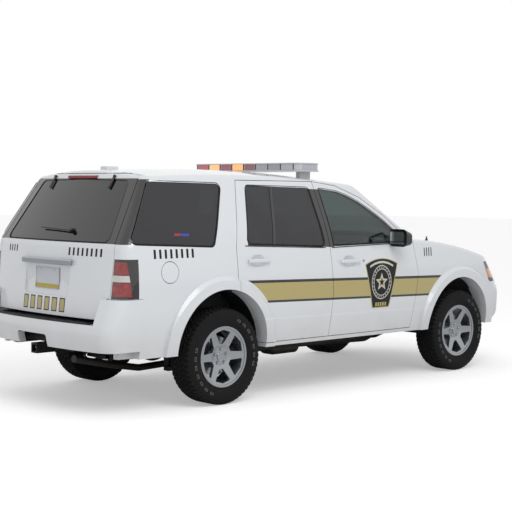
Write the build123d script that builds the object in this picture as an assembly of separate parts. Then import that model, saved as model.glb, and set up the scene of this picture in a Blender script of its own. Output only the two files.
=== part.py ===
from build123d import *
from math import asin, cos, degrees, radians, sin, sqrt, tan
import os

# A four-door police sport utility vehicle, in millimetres.
# +X is forward, +Y is the driver's left, +Z is up. The origin is on the ground, on the centre line,
# midway between the faces of the two bumpers.

# Overall sizes
WHEELBASE = 2888
FRONT_OVERHANG = 871
REAR_OVERHANG = 1153
REAR_AXLE = (REAR_OVERHANG - FRONT_OVERHANG - WHEELBASE) / 2
FRONT_AXLE = REAR_AXLE + WHEELBASE
TRACK_HALF = 775
BEYOND = 1100

# Running clearances
SHUT_GAP = 5
SEAL_GAP = 7
SEAT = 0.3

# Side section: flank arc, shoulder arc and a straight tumblehome, bowed in plan
HALF_WIDTH = 915
FLANK_RADIUS = 2300
WIDEST_Z = 880
BELT_Z = 1190
SHOULDER_RADIUS = 1200
TUMBLEHOME = 18
PLAN_RADIUS = 70000
PLAN_CENTRE_AFT = 1300
BODY_BOTTOM = 410

# Walls
DOOR_INNER_HALF = 790
FRAME_THICK = 42
PILLAR_THICK = 26
JAMB_THICK = 50
ROOF_THICK = 40
HOOD_THICK = 25
SCREEN_PILLAR = 34
NOSE_THICK = 60
GATE_THICK = 80
GLASS_THICK = 5
GLASS_SINK = 5

# Roof and hood caps: height, place of the crown, radii along and across
ROOF_Z = 1803
ROOF_CROWN_AFT = 250
ROOF_LONG_RADIUS = 14200
ROOF_CROSS_RADIUS = 4700
ROOF_EDGE_RADIUS = 60
HOOD_Z = 1263
HOOD_CROWN_FORE = -868
HOOD_LONG_RADIUS = 4600
HOOD_CROSS_RADIUS = 9000
HOOD_EDGE_RADIUS = 45

# Windscreen: foot on the centre line, rake and bow
SCREEN_FORE = -394
SCREEN_Z = 1165
SCREEN_RAKE = 33
SCREEN_RADIUS = 3500

# Nose and tail profiles, (x, z): nose from the front axle, tail from the rear axle
NOSE = ((672, 300), (874, 480), (862, 740), (432, 1400))
NOSE_RADII = (120, 260)
NOSE_PLAN_RADIUS = 1800
NOSE_CORNER = 140
TAIL = ((-1035, 300), (-1045, 690), (-990, 1225), (-595, 1860))
TAIL_RADII = (400, 150)
TAIL_PLAN_RADIUS = 5000
TAIL_CORNER = 110

# Wheel arches: (x of the centre from the axle, z, opening radius, flare radius)
REAR_ARCH = (-15, 445, 440, 540)
FRONT_ARCH = (-15, 425, 438, 535)
FLARE_PROUD = 29
FLARE_SLOPE = 36

# Door shut lines, (x, z). Those of the B-pillar and back are from the rear axle, the others from the front.
B_LINE = ((1064, 1731), (1140, 1165), (1171, 812), (1151, 430))
C_LINE = ((224, 1712), (113, 1203), (118, 976), (118, 430))
A_LINE = ((-694, 1204), (-628, 921), (-693, 430))
DOOR_BOTTOM = 445
DOOR_TOP = 1708
DOOR_DRAFT = 20
# Top edge of the front door down the screen pillar, from the front axle
PILLAR_LINE = ((-1790, 1706), (-1558, 1677), (-1288, 1580), (-1028, 1427), (-798, 1246))

# Door hinge leaves: from and to across the car, and heights
HINGE_LEAF_Y = (745, 860)
HINGE_HEIGHTS = (570, 990)

# Side windows, (x, z): the quarter and rear door ones from the rear axle, the front door one from the front axle
QUARTER_WINDOW = ((-880, 1244), (-113, 1211), (60, 1680), (-625, 1690))
REAR_DOOR_WINDOW = ((230, 1222), (1078, 1187), (1005, 1657), (318, 1668))
FRONT_DOOR_WINDOW = ((-1703, 1192), (-834, 1206), (-927, 1296), (-1058, 1394), (-1187, 1474), (-1314, 1544),
                     (-1438, 1596), (-1561, 1630), (-1760, 1652))
WINDOW_CORNER = 35

# Tailgate, (half width, z), and its window
GATE = ((680, 694), (685, 840), (737, 860), (742, 1180), (625, 1748))
# The gate's inner lip stops here, clear of the roof as it swings
GATE_LIP_AFT = -622
GATE_WINDOW = ((664, 1246), (547, 1696), (0, 1708))
GATE_OPENING = 85

# Windscreen opening: distances up the slope and half widths
SCREEN_SLOPE = (190, 1062)
SCREEN_HALF = (768, 668)

# Hood
HOOD_HALF = 785
HOOD_LIP_Z = 995
HOOD_REAR_FORE = -448
HOOD_REAR_SWEEP = 150

# Door furniture, from the rear axle: handles (x, z) and the mirror's foot
FRONT_HANDLE = (1360, 1055)
REAR_HANDLE = (325, 1090)
MIRROR_AT = (1930, 1190)
DIVIDER_LINE = ((505, 1215), (590, 1668))
DIVIDER_WIDE = 24
FUEL_DOOR_AT = (-541, 1030)
FUEL_DOOR_RADIUS = 82
DOOR_OPENING = (66, 68)
HOOD_OPENING = 52
FUEL_OPENING = 100

# Lamps and bumpers
LAMP_INNER_HALF = 430
LAMP_BOTTOM = 800
LAMP_SIDE = ((352, 990), (450, 800))
TAIL_LAMP_HALF = 750
TAIL_LAMP_Z = (850, 1132)
TAIL_LAMP_AFT = -822
FRONT_BUMPER_TOP = 788
FRONT_BUMPER_FORE = 300
FENDER_TOP = 1222
REAR_BUMPER_AFT = -785
REAR_BUMPER_Z = (470, 662)
REAR_BUMPER_PROUD = 8
BUMPER_RISER_HALF = 692

# Wheels
TYRE_RADIUS = 368
TYRE_HALF = 118
RIM_RADIUS = 233
RIM_HALF = 100
WHEEL_BOLT_CIRCLE = 57.15
WHEEL_STUDS = 5
SPOKES = 6
DISC_RADIUS = 152
STEER_LIMIT = 33
KINGPIN_HALF = 690

SPOKE_OUTER = 26
SPOKE_INNER = 34
HUB_BACK = 26
KNUCKLE_BELOW = 118
KNUCKLE_ABOVE = 150

# Roof of the cabin structure, and the door frames behind the doors
ROOF_SPLIT_HALF = 655
FRAME_AFT = -930
FRAME_FORE = -600
SILL_FLANGE = 38

# Tailgate details
PLATE_Z = 955
PLATE_RECESS_HALF = 290
PLATE_RECESS_TALL = 235
PLATE_RECESS_DEEP = 14
WIPER_AT = (-218, 1325)

# Rear bumper: profile (x, z) from the rear axle, and its wall
BUMPER_TAIL = ((-1112, 400), (-REAR_OVERHANG - 14, 580), (-1066, 860))
BUMPER_TAIL_RADII = (300,)
BUMPER_CORNER = 130
BUMPER_WALL = 60
STEP_PAD_HALF = 634
HITCH_NOTCH_HALF = 190
HITCH_Z = 440
HITCH_TUBE_HALF = 38
HITCH_TUBE_TOP = HITCH_Z + HITCH_TUBE_HALF + SEAT
HITCH_BORE = 25.5

# Front details
GRILLE_RIM = 22
GRILLE_BARS = 3
INTAKE_HALF = 330
INTAKE_TALL = 120
FOG_LAMP_HALF = 545
FOG_LAMP_RADIUS = 50
SCREEN_SINK = 4
FUEL_DOOR_THICK = 6
FUEL_DOOR_GAP = 5

# Underside
RAIL_INNER = 330
RAIL_OUTER = 400
RAIL_TALL = 130
RAIL_Z = 440
RAIL_HIGH = RAIL_Z + 130
RAIL_TAIL = RAIL_Z + 70
FLOOR_Z = 455
FLOOR_THICK = 22
RAIL_LOW = FLOOR_Z - FLOOR_THICK - SEAT - RAIL_TALL / 2
TAIL_MEMBER_TOP = RAIL_TAIL + 45
# Crossmembers: x, height of the middle, depth along the car, height
CROSSMEMBERS = ((FRONT_AXLE + 560, RAIL_Z + 30, 70, 90), (FRONT_AXLE - 30, RAIL_Z - 70, 120, 50),
                (FRONT_AXLE - 1000, 334, 90, 50), (REAR_AXLE + 1500, 350, 80, 50),
                (REAR_AXLE - 420, RAIL_HIGH, 80, 80),
                (REAR_AXLE - 960, (HITCH_TUBE_TOP + TAIL_MEMBER_TOP) / 2, 90, TAIL_MEMBER_TOP - HITCH_TUBE_TOP))
SPRING_TOP = 600
HITCH_PIN_AFT = -1085
HITCH_PIN_RADIUS = 8
LOAD_FLOOR_Z = 660
TUNNEL = (165, 610)
TUNNEL_WALL = 18
LINER_WALL = 9
LINER_INNER = 560
FRONT_LINER_INNER = 478
LINER_DROP = 60
ENGINE_LOW = 400
ENGINE_HIGH = 1010
GEARBOX_Z = 470
EXHAUST_HALF = 190
PIPE_RADIUS = 27
PIPE_BEND = 75
TANK_BOTTOM = 285
RADIATOR_HALF = 320
RADIATOR_TOP = 980

# Cabin
DRIVER_Y = 385
SQUAB_Z = 640
REAR_SQUAB_Z = LOAD_FLOOR_Z + 12
BENCH_HALF = 548
BACK_LEAN = 20
SQUAB_TALL = 150
HEADREST_UP = 690
HEADREST_TALL = 170
WHEEL_RAKE = 26
COLUMN_RADIUS = 28
COLUMN_LONG = 260

# Light bar
BAR_AFT = 1130
BAR_LOW = 1792
BAR_HALF = 665
BAR_DEEP = 285
BAR_TRAY = 14
BAR_LENS = 50
BAR_LID = 9
BAR_FOOT_HALF = 560
BAR_MODULES = 8


def aft(distance):
    """X of a place given forward of the rear axle."""
    return REAR_AXLE + distance


def fore(distance):
    """X of a place given forward of the front axle."""
    return FRONT_AXLE + distance


def mirrored(solid):
    """The same piece on the other side of the car."""
    return mirror(solid, Plane.XZ)


def pair(solid):
    """A piece and its mirror image as one group."""
    return group(solid, mirrored(solid))


def group(*solids):
    """Several separate solids of one sub-part."""
    found = []
    for solid in solids:
        found += list(solid.solids())
    return Compound(children=found)


def across(x):
    """Cross-section plane at x: its first axis is Y and its second Z."""
    return Plane(origin=(x, 0, 0), x_dir=(0, 1, 0), z_dir=(1, 0, 0))


def polygon(points, corner=0):
    """Closed face through points, with its corners rounded."""
    face = make_face(Polyline(*points, close=True))
    return fillet(face.vertices(), corner) if corner else face


def shape(start, *legs):
    """Closed face: each leg is an end point, or a middle and an end point for an arc."""
    edges, at = [], start
    for leg in legs:
        if isinstance(leg[0], tuple):
            edges.append(ThreePointArc(at, *leg))
            at = leg[1]
        else:
            edges.append(Line(at, leg))
            at = leg
    return make_face(edges + [Line(at, start)])


def through(face, low, high):
    """Side-view face (x, z) as a prism from y = low to y = high."""
    return Pos(0, high, 0) * extrude(Plane.XZ * face, high - low)


def crosswise(face, low, high):
    """Rear-view face (y, z) as a prism from x = low to x = high."""
    return extrude(across(low) * face, high - low)


def upright(face, low, high):
    """Plan face (x, y) as a prism from z = low to z = high."""
    return Pos(0, 0, low) * extrude(face, high - low)


def block(x, y, z):
    """Box between pairs of coordinates."""
    return Pos(sum(x) / 2, sum(y) / 2, sum(z) / 2) * Box(x[1] - x[0], y[1] - y[0], z[1] - z[0])


def rounded(x, y, z, radius):
    """Box between pairs of coordinates with all its edges rounded."""
    solid = block(x, y, z)
    return fillet(solid.edges(), radius)


def rod(start, end, radius):
    """Round bar between two points."""
    way = Vector(*end) - Vector(*start)
    return Plane(origin=start, z_dir=way) * Cylinder(radius, way.length, align=(Align.CENTER, Align.CENTER, Align.MIN))


def drum(x, z, radius, low, high):
    """Cylinder along Y."""
    return Pos(x, high, z) * Rot(90, 0, 0) * Cylinder(radius, high - low, align=(Align.CENTER, Align.CENTER, Align.MIN))


def turned(profile, x, z):
    """Profile of (radius, y) points turned about the axis along Y through x, z."""
    face = Plane(origin=(x, 0, z), x_dir=(1, 0, 0), z_dir=(0, 0, -1)) * make_face(profile)
    return revolve(face, Axis((x, 0, z), (0, 1, 0)), 360)


def shoulder():
    """Centre (y, z) of the shoulder arc and the height where it ends."""
    start = asin((BELT_Z - WIDEST_Z) / FLANK_RADIUS)
    half = HALF_WIDTH - FLANK_RADIUS * (1 - cos(start))
    y = half - SHOULDER_RADIUS * cos(start)
    z = BELT_Z - SHOULDER_RADIUS * sin(start)
    return y, z, z + SHOULDER_RADIUS * sin(radians(TUMBLEHOME))


def flank(z):
    """Half width of the body at height z, at the middle of its plan bow."""
    if z <= BELT_Z:
        return HALF_WIDTH - FLANK_RADIUS + sqrt(FLANK_RADIUS ** 2 - (z - WIDEST_Z) ** 2)
    y, centre_z, end_z = shoulder()
    if z <= end_z:
        return y + sqrt(SHOULDER_RADIUS ** 2 - (z - centre_z) ** 2)
    lean = radians(TUMBLEHOME)
    return y + SHOULDER_RADIUS * cos(lean) - (z - end_z) * tan(lean)


def skin(x, z):
    """Half width of the body's outer face at x, z."""
    reach = PLAN_RADIUS - HALF_WIDTH + flank(z)
    return HALF_WIDTH - PLAN_RADIUS + sqrt(reach ** 2 - (x - aft(PLAN_CENTRE_AFT)) ** 2)


def bowed(face):
    """Half section (y, z) bowed in plan on both sides of the car."""
    axis = Axis((aft(PLAN_CENTRE_AFT), HALF_WIDTH - PLAN_RADIUS, 0), (0, 0, 1))
    left = revolve((across(aft(PLAN_CENTRE_AFT)) * face).rotate(axis, -3), axis, 6)
    return left & mirrored(left)


def outer_sides(low, high, proud=0):
    """Space between the two outer flanks, moved out by proud."""
    end_z = shoulder()[2]

    def point(z):
        return flank(z) + proud, z

    return bowed(shape((-BEYOND, low), point(low), (point((low + BELT_Z) / 2), point(BELT_Z)),
                       (point((BELT_Z + end_z) / 2), point(end_z)), point(high), (-BEYOND, high)))


def inner_sides(low, high, inset=0, thick=FRAME_THICK):
    """Space between the inner faces of the doors and the window frames, moved in by inset."""
    end_z = shoulder()[2]
    wall = DOOR_INNER_HALF - inset
    points = [(-BEYOND, low), (wall, low), (wall, BELT_Z - 50)]
    points += [(flank(z) - thick, z) for z in (BELT_Z + 30, end_z, high)]
    return bowed(polygon(points + [(-BEYOND, high)]))


def crowned(x, z, long_radius, cross_radius, depth, arc):
    """Space under a roof that is crowned along and across."""
    sag = cross_radius - sqrt(cross_radius ** 2 - BEYOND ** 2)
    face = shape((-BEYOND, z - depth), (-BEYOND, z - sag), ((0, z), (BEYOND, z - sag)), (BEYOND, z - depth))
    axis = Axis((x, 0, z - long_radius), (0, 1, 0))
    return revolve((across(x) * face).rotate(axis, -arc), axis, 2 * arc)


def under_roof(drop=0):
    """Space under the roof's outer face, lowered by drop."""
    return crowned(aft(ROOF_CROWN_AFT), ROOF_Z - drop, ROOF_LONG_RADIUS - drop, ROOF_CROSS_RADIUS - drop, 1700, 14)


def under_hood(drop=0):
    """Space under the hood's outer face, lowered by drop."""
    return crowned(fore(HOOD_CROWN_FORE), HOOD_Z - drop, HOOD_LONG_RADIUS - drop, HOOD_CROSS_RADIUS - drop, 1000, 40)


def screen_plane():
    """Plane across the windscreen's slope: Y, then down into the cabin; its normal runs up the glass."""
    rake = radians(SCREEN_RAKE)
    return Plane(origin=(fore(SCREEN_FORE), 0, SCREEN_Z), x_dir=(0, 1, 0), z_dir=(-cos(rake), 0, sin(rake)))


def behind_screen(inset=0):
    """Space behind the windscreen's outer face."""
    sag = SCREEN_RADIUS - sqrt(SCREEN_RADIUS ** 2 - BEYOND ** 2)
    face = shape((-BEYOND, sag + inset), ((0, inset), (BEYOND, sag + inset)), (BEYOND, 4000), (-BEYOND, 4000))
    return extrude(screen_plane() * face, 4500, both=True)


def bowed_end(points, radii, back, plan_radius, way, arc):
    """Profile (x, z) turned about a vertical axis: the bowed nose (way 1) or tail (way -1)."""
    line = FilletPolyline(*points, radius=list(radii))
    low, high = points[0], points[-1]
    closing = [Line(high, (back, high[1])), Line((back, high[1]), (back, low[1])), Line((back, low[1]), low)]
    tip = max(way * x for x, _ in points) * way
    axis = Axis((tip - way * plan_radius, 0, 0), (0, 0, 1))
    face = Plane.XZ * make_face(list(line.edges()) + closing)
    return revolve(face.rotate(axis, -arc), axis, 2 * arc)


def ahead_of_tail(points, radii):
    """Space ahead of a tail profile, as far as the middle of the car."""
    bowed_part = bowed_end(points, radii, aft(-350), TAIL_PLAN_RADIUS, -1, 15)
    low, high = points[0][1], points[-1][1]
    return bowed_part + block((aft(-450), fore(212)), (-1200, 1200), (low, high))


def behind_nose(inset=0):
    """Space behind the nose profile, as far back as the doors."""
    points = [(fore(x) - inset, z) for x, z in NOSE]
    bowed_part = bowed_end(points, NOSE_RADII, fore(212), NOSE_PLAN_RADIUS, 1, 62)
    return bowed_part + block((fore(-1388), fore(330)), (-1200, 1200), (points[0][1], points[-1][1]))


def corner_edges(solid, low_x, high_x):
    """The upright edges where the flanks meet the nose or the tail."""
    found = []
    for edge in solid.edges():
        middle, box = edge.center(), edge.bounding_box().size
        if low_x < middle.X < high_x and abs(middle.Y) > 600 and box.Z > 5 and box.X < 500:
            found.append(edge)
    return found


def cabin_form():
    """Closed outer form of the cabin and load space."""
    tail = [(aft(x), z) for x, z in TAIL]
    form = outer_sides(BODY_BOTTOM, 1860) & ahead_of_tail(tail, TAIL_RADII)
    form = fillet(corner_edges(form, aft(-1200), aft(-560)), TAIL_CORNER)
    form = form & under_roof() & behind_screen()
    edges = [edge for edge in form.edges()
             if edge.center().Z > 1650 and abs(edge.center().Y) > 600 and edge.bounding_box().size.X > 800]
    return fillet(edges, ROOF_EDGE_RADIUS)


def front_form():
    """Closed outer form of the hood, fenders and nose."""
    form = outer_sides(BODY_BOTTOM, 1860) & behind_nose() & under_hood()
    form = fillet(corner_edges(form, fore(262), fore(900)), NOSE_CORNER)
    rim = []
    for edge in form.edges():
        middle, box = edge.center(), edge.bounding_box().size
        flat = box.Z > 2 and box.X > max(60, box.Z)
        if flat and middle.Z > 940 and (abs(middle.Y) > 700 or middle.X > fore(500)):
            rim.append(edge)
    return fillet(rim, HOOD_EDGE_RADIUS)


def flare(x, arch):
    """Both flares of one axle: bands that stand proud of the flank around the openings."""
    shift, z, opening, reach = arch
    lean = [Line((opening, 500), (opening, 1000)), Line((opening, 1000), (reach - 3 * FLARE_SLOPE, 1000)),
            Line((reach - 3 * FLARE_SLOPE, 1000), (reach, HALF_WIDTH - 15)),
            Line((reach, HALF_WIDTH - 15), (reach + 60, 500)), Line((reach + 60, 500), (opening, 500))]
    ring = turned(lean, x + shift, z)
    proud = outer_sides(BODY_BOTTOM, 1100, FLARE_PROUD)
    return pair(ring & proud)


def tail_void():
    """Profile of the inner face of the tailgate and tail."""
    inner = 45 / cos(radians(32))
    return [(aft(TAIL[1][0]) + GATE_THICK, 250), (aft(TAIL[1][0]) + GATE_THICK, TAIL[2][1] - 12),
            (aft(TAIL[3][0]) + inner, TAIL[3][1])]


def void(inset=0, thick=FRAME_THICK, roof=ROOF_THICK):
    """Everything inside the outer panels: cabin, load space and engine bay."""
    sides = inner_sides(250, 1900, inset, thick)
    cabin = sides & ahead_of_tail(tail_void(), (60,)) & under_roof(roof) & behind_screen(SCREEN_PILLAR)
    bay = sides & behind_nose(NOSE_THICK) & under_hood(HOOD_THICK)
    return cabin + bay




def line_at(line, z):
    """X of a shut line at height z, still counted from its axle."""
    for (x0, z0), (x1, z1) in zip(line, line[1:]):
        if z >= z1:
            return x0 + (x1 - x0) * (z - z0) / (z1 - z0)
    return line[-1][0]


def door_face(grow=0, rear=None):
    """Side outline of the front door, or of the rear door, grown by grow on every edge."""
    low, high = DOOR_BOTTOM - grow, DOOR_TOP + grow
    if rear:
        ahead = [(aft(line_at(B_LINE, z)) - SHUT_GAP + grow, z) for z in (low, 812, 1165, high)]
        back = [(aft(x) - grow, z) for x, z in C_LINE if low < z < high]
        back = [(aft(line_at(C_LINE, high)) - grow, high)] + back + [(aft(C_LINE[-1][0]) - grow, low)]
        return polygon(ahead + back)
    back = [(aft(line_at(B_LINE, z)) - grow, z) for z in (low, 812, 1165, high)]
    top = [(fore(x) + grow / 2, z + grow) for x, z in PILLAR_LINE[1:]]
    ahead = [(fore(x) + grow, z) for x, z in A_LINE[:-1]] + [(fore(line_at(A_LINE, low)) + grow, low)]
    return polygon(back + top + ahead)


def leaning(line):
    """Everything ahead of a rear shut line whose cut leans forward as it goes in."""
    lean = tan(radians(DOOR_DRAFT))
    points = []
    for z in (300, line[-1][1], line[-2][1], line[-3][1], 1400, line[0][1], 1900):
        x = aft(line_at(line, z))
        points.append((x - (BEYOND - skin(x, z)) * lean, z))
    face = polygon(points + [(fore(900), 1900), (fore(900), 300)])
    return extrude(Pos(0, BEYOND, 0) * (Plane.XZ * face), 900, dir=(lean, -1, 0))


def side_window(points, axle, grow=0):
    """Side window opening as a prism through the left flank."""
    face = polygon([(axle + x, z) for x, z in points], 0)
    sharp = [v for v in face.vertices()]
    face = fillet(sharp, WINDOW_CORNER) if len(points) == 4 else face
    return through(offset(face, amount=grow) if grow else face, 400, BEYOND)


def screen_opening(grow=0):
    """Windscreen opening: a prism square to the glass."""
    rake = radians(SCREEN_RAKE)
    plane = Plane(origin=(fore(SCREEN_FORE), 0, SCREEN_Z), x_dir=(0, 1, 0), z_dir=(sin(rake), 0, cos(rake)))
    low, high = SCREEN_SLOPE
    wide, narrow = SCREEN_HALF
    face = shape((-wide, low + 48), ((0, low), (wide, low + 48)), (narrow, high - 26), ((0, high), (-narrow, high - 26)))
    face = fillet(face.vertices(), 45)
    return extrude(plane * (offset(face, amount=grow) if grow else face), 260, both=True)


def gate_opening(grow=0):
    """Tailgate opening, seen from behind, with its inner face."""
    half = [(y + grow, z) for y, z in GATE]
    half[0] = (half[0][0], half[0][1] - grow)
    half[-1] = (half[-1][0], half[-1][1] + grow)
    face = polygon(half + [(-y, z) for y, z in reversed(half)])
    inner = [(x + grow, z) for x, z in tail_void()]
    return crosswise(face, aft(-1300), aft(-560)) - ahead_of_tail(inner, (60,))


def hood_opening(grow=0):
    """Hood opening in plan, from the cowl to the nose and down to the lip."""
    rear, half = fore(HOOD_REAR_FORE) - grow, HOOD_HALF + grow
    side = rear - HOOD_REAR_SWEEP
    face = shape((side, -half), ((rear, 0), (side, half)), (fore(1000), half), (fore(1000), -half))
    return upright(face, HOOD_LIP_Z - grow, 1400)


def headlamp_space(grow=0):
    """Left headlamp's place in the nose."""
    (top_x, top_z), (low_x, low_z) = LAMP_SIDE
    face = polygon([(fore(top_x) - grow, top_z + grow), (fore(low_x) - grow, low_z - grow),
                    (fore(1000), low_z - grow), (fore(1000), top_z + grow)])
    return through(face, LAMP_INNER_HALF - grow, BEYOND)


def tail_lamp_space(grow=0):
    """Left tail lamp's place in the corner."""
    low, high = TAIL_LAMP_Z
    return block((aft(-1300), aft(TAIL_LAMP_AFT) + grow), (TAIL_LAMP_HALF - grow, BEYOND), (low - grow, high + grow))


def arches(radius_gain=0, low=440, high=1000):
    """Left wheel openings."""
    found = []
    for axle, (shift, z, opening, _) in ((REAR_AXLE, REAR_ARCH), (FRONT_AXLE, FRONT_ARCH)):
        found.append(drum(axle + shift, z, opening + radius_gain, low, high))
    return found[0] + found[1]


def left_half(solid):
    """The part of a solid on the driver's side."""
    return solid & block((-3200, 3200), (0, 1600), (-100, 2600))


def outer_skin(cabin, front, inside):
    """All outer panels of the left half in one piece, with the flares and the wheel openings."""
    form = cabin + front
    form = form + flare(REAR_AXLE, REAR_ARCH) + flare(FRONT_AXLE, FRONT_ARCH)
    return left_half(form - inside) - arches()


def whole_roof(shell, cabin):
    """Roof panel across the car, with its rear header and the leaves of the tailgate's hinges."""
    roof = shell & block((aft(-1200), fore(-300)), (-ROOF_SPLIT_HALF, ROOF_SPLIT_HALF), (1650, 2000))
    for rear in (None, True):
        gap = through(door_face(SHUT_GAP, rear), 500, BEYOND)
        roof = roof - gap - mirrored(gap)
    roof = roof - gate_opening(SHUT_GAP) - screen_opening()
    leaf_x, top = tail_x(300, GATE[-1][1]), GATE[-1][1]
    leaf = block((leaf_x + 15, leaf_x + 45), (250, 330), (top + SEAT, top + SHUT_GAP + 2))
    header = block((leaf_x + 22, leaf_x + 85), (-400, 400), (top + SHUT_GAP, top + SHUT_GAP + 22)) & cabin
    corner = block((leaf_x - 100, leaf_x + 50), (420, BEYOND), (top - 4, 2000))
    return largest(roof - corner - mirrored(corner)) + header + leaf + mirrored(leaf)


def side_glass(points, axle):
    """Pane in a left side window, sunk below the outer face."""
    outer, inner = -GLASS_SINK, -GLASS_SINK - GLASS_THICK
    return side_window(points, axle) & left_half(outer_sides(1000, 1800, outer) - outer_sides(1000, 1800, inner))


def handle(x, z):
    """Pull handle on the left flank: a bar on two feet."""
    y = skin(x, z)
    bar = rounded((x - 115, x + 115), (y + 12, y + 32), (z - 15, z + 15), 8)
    for side in (-1, 1):
        bar += rounded((x + side * 90 - 18, x + side * 90 + 18), (y - 12, y + 26), (z - 13, z + 13), 5)
    return bar


def handle_cup(x, z):
    """Shallow hollow behind a door handle."""
    ball = Pos(x, skin(x, z) + 132, z) * Sphere(150)
    return ball & block((x - 80, x + 80), (0, BEYOND), (z - 45, z + 45))


def door_shells(panels):
    """The two left doors: skin, inner wall and window frame in one, with handle."""
    front = through(door_face(), 500, BEYOND) & leaning(B_LINE)
    rear = through(door_face(0, True), 500, BEYOND) & leaning(C_LINE)
    for name, space, window, (x, z) in (
            ("front_door", front, side_window(FRONT_DOOR_WINDOW, FRONT_AXLE), FRONT_HANDLE),
            ("rear_door", rear, side_window(REAR_DOOR_WINDOW, REAR_AXLE), REAR_HANDLE)):
        x = aft(x)
        panels[name] = (panels["skin"] & space) - window - handle_cup(x, z) + handle(x, z)


def divider_bar(grow=0):
    """Upright bar in the rear door's window, as a prism."""
    (low_x, low_z), (high_x, high_z) = DIVIDER_LINE
    half = DIVIDER_WIDE / 2 + grow
    face = polygon([(aft(low_x) - half, low_z - 40), (aft(low_x) + half, low_z - 40),
                    (aft(high_x) + half, high_z + 20), (aft(high_x) - half, high_z + 20)])
    return through(face, 400, BEYOND)


def mirror_head():
    """Left door mirror: housing with a glass recess on an arm from the door."""
    x, z = aft(MIRROR_AT[0]), MIRROR_AT[1]
    y = skin(x, z)
    head = loft([Pos(x - 55, y + 105, z + 50) * Rot(0, 90, 0) * RectangleRounded(150, 190, 40),
                 Pos(x + 45, y + 112, z + 42) * Rot(0, 90, 0) * RectangleRounded(110, 130, 36)])
    glass = Pos(x - 55, y + 105, z + 50) * Rot(0, 90, 0) * extrude(RectangleRounded(128, 168, 32), 8, both=True)
    arm = rounded((x - 35, x + 35), (y - 4, y + 60), (z - 22, z + 8), 10)
    return (head - glass + arm) - left_half(outer_sides(1000, 1500))


def shut_lines(panels):
    """Left outer panels cut from the one skin along their shut lines."""
    skin_left = panels["skin"]
    door_gap = through(door_face(SHUT_GAP), 500, BEYOND)
    rear_gap = through(door_face(SHUT_GAP, True), 500, BEYOND)
    gate, hood = gate_opening(SHUT_GAP), hood_opening(SHUT_GAP)
    bumper = block((aft(-1300), aft(REAR_BUMPER_AFT)), (0, BEYOND), (300, TAIL_LAMP_Z[0] - 2))
    rest = skin_left - door_gap - rear_gap - gate - hood - bumper
    rest = rest - screen_opening() - tail_lamp_space(SEAT) - headlamp_space(SEAT)
    rest = rest - block((aft(-1200), fore(-300)), (-1, ROOF_SPLIT_HALF), (1650, 2000))
    back_line = polygon([(aft(x) - SHUT_GAP, z) for x, z in C_LINE] + [(aft(-1300), 430), (aft(-1300), 1712)])
    quarter = through(back_line, 300, BEYOND) + through(
        polygon([(aft(-1300), 1700), (aft(C_LINE[0][0]) - SHUT_GAP, 1700), (aft(C_LINE[0][0]) - SHUT_GAP, 1850),
                 (aft(-1300), 1850)]), 300, BEYOND) + block((aft(-1300), aft(-20)), (300, BEYOND), (380, 431))
    panels["quarter_panel"] = (rest & quarter) - side_window(QUARTER_WINDOW, REAR_AXLE)
    rest = rest - quarter
    top_x = fore(A_LINE[0][0]) + SHUT_GAP
    nose_line = [(fore(x) + SHUT_GAP, z) for x, z in A_LINE] + [(fore(A_LINE[-1][0]) + SHUT_GAP, 380),
                                                               (fore(1000), 380), (fore(1000), FENDER_TOP)]
    ahead = through(polygon([(top_x, FENDER_TOP)] + nose_line), -1, BEYOND)
    nose = rest & ahead
    rest = rest - ahead
    cowl = block((fore(-1200), fore(0)), (-1, HOOD_HALF + SHUT_GAP), (1100, 1400))
    grille = block((fore(400), fore(1000)), (-1, LAMP_INNER_HALF - SEAT), (LAMP_BOTTOM - 1, HOOD_LIP_Z - SHUT_GAP))
    low_nose = block((fore(FRONT_BUMPER_FORE), fore(1000)), (-1, BEYOND), (300, FRONT_BUMPER_TOP))
    panels["front_bumper"] = nose & low_nose
    panels["grille"] = nose & grille
    outboard = block((fore(-800), fore(1000)), (HOOD_HALF + SHUT_GAP, BEYOND), (300, 1400))
    panels["fender"] = (nose & outboard) - low_nose
    panels["cowl_panel"] = (rest + (nose & block((fore(-800), fore(-100)), (-1, HOOD_HALF), (1000, 1400)))) & cowl
    panels["body_side"] = rest - cowl
    return panels


def largest(solid):
    """A cut piece without its crumbs."""
    return max(solid.solids(), key=lambda piece: piece.volume)


def door_frame():
    """Left door openings' inner frame: pillars, cant rail and sill behind the doors."""
    layer = inner_sides(BODY_BOTTOM, 1900) - inner_sides(300, 1950, JAMB_THICK, FRAME_THICK + PILLAR_THICK)
    layer = left_half(layer & block((aft(FRAME_AFT), fore(FRAME_FORE)), (-1200, 1200), (BODY_BOTTOM, 1900)))
    layer = layer & ahead_of_tail(tail_void(), (60,)) & under_roof(ROOF_THICK) & behind_screen(SCREEN_PILLAR)
    seal = inner_sides(300, 1950) - inner_sides(250, 1980, SEAL_GAP, FRAME_THICK + SEAL_GAP)
    for rear in (None, True):
        layer = layer - (through(door_face(SHUT_GAP, rear), 500, BEYOND) & seal)
        layer = layer - through(offset(door_face(0, rear), amount=-SILL_FLANGE), 500, BEYOND)
    layer = layer - side_window(QUARTER_WINDOW, REAR_AXLE, 12)
    return layer - drum(REAR_AXLE + REAR_ARCH[0], REAR_ARCH[1], REAR_ARCH[2] + LINER_WALL, 400, BEYOND)


def hinge_leaves():
    """Left door hinges' leaves: they fill the shut gap ahead of each door, two to a door."""
    low, high = HINGE_LEAF_Y
    found = []
    for rear, x in ((None, fore(-660)), (True, aft(1150))):
        closed = through(door_face(SEAT, rear), low - 5, high + 5)
        leaf = through(door_face(SHUT_GAP - SEAT, rear), low, high) - closed
        leaf = leaf + (through(door_face(SHUT_GAP + 2, rear), low, low + 22) - closed)
        for z in HINGE_HEIGHTS:
            found.append(leaf & block((x - 60, x + 60), (low - 5, high + 5), (z - 35, z + 35)))
    return found


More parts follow.
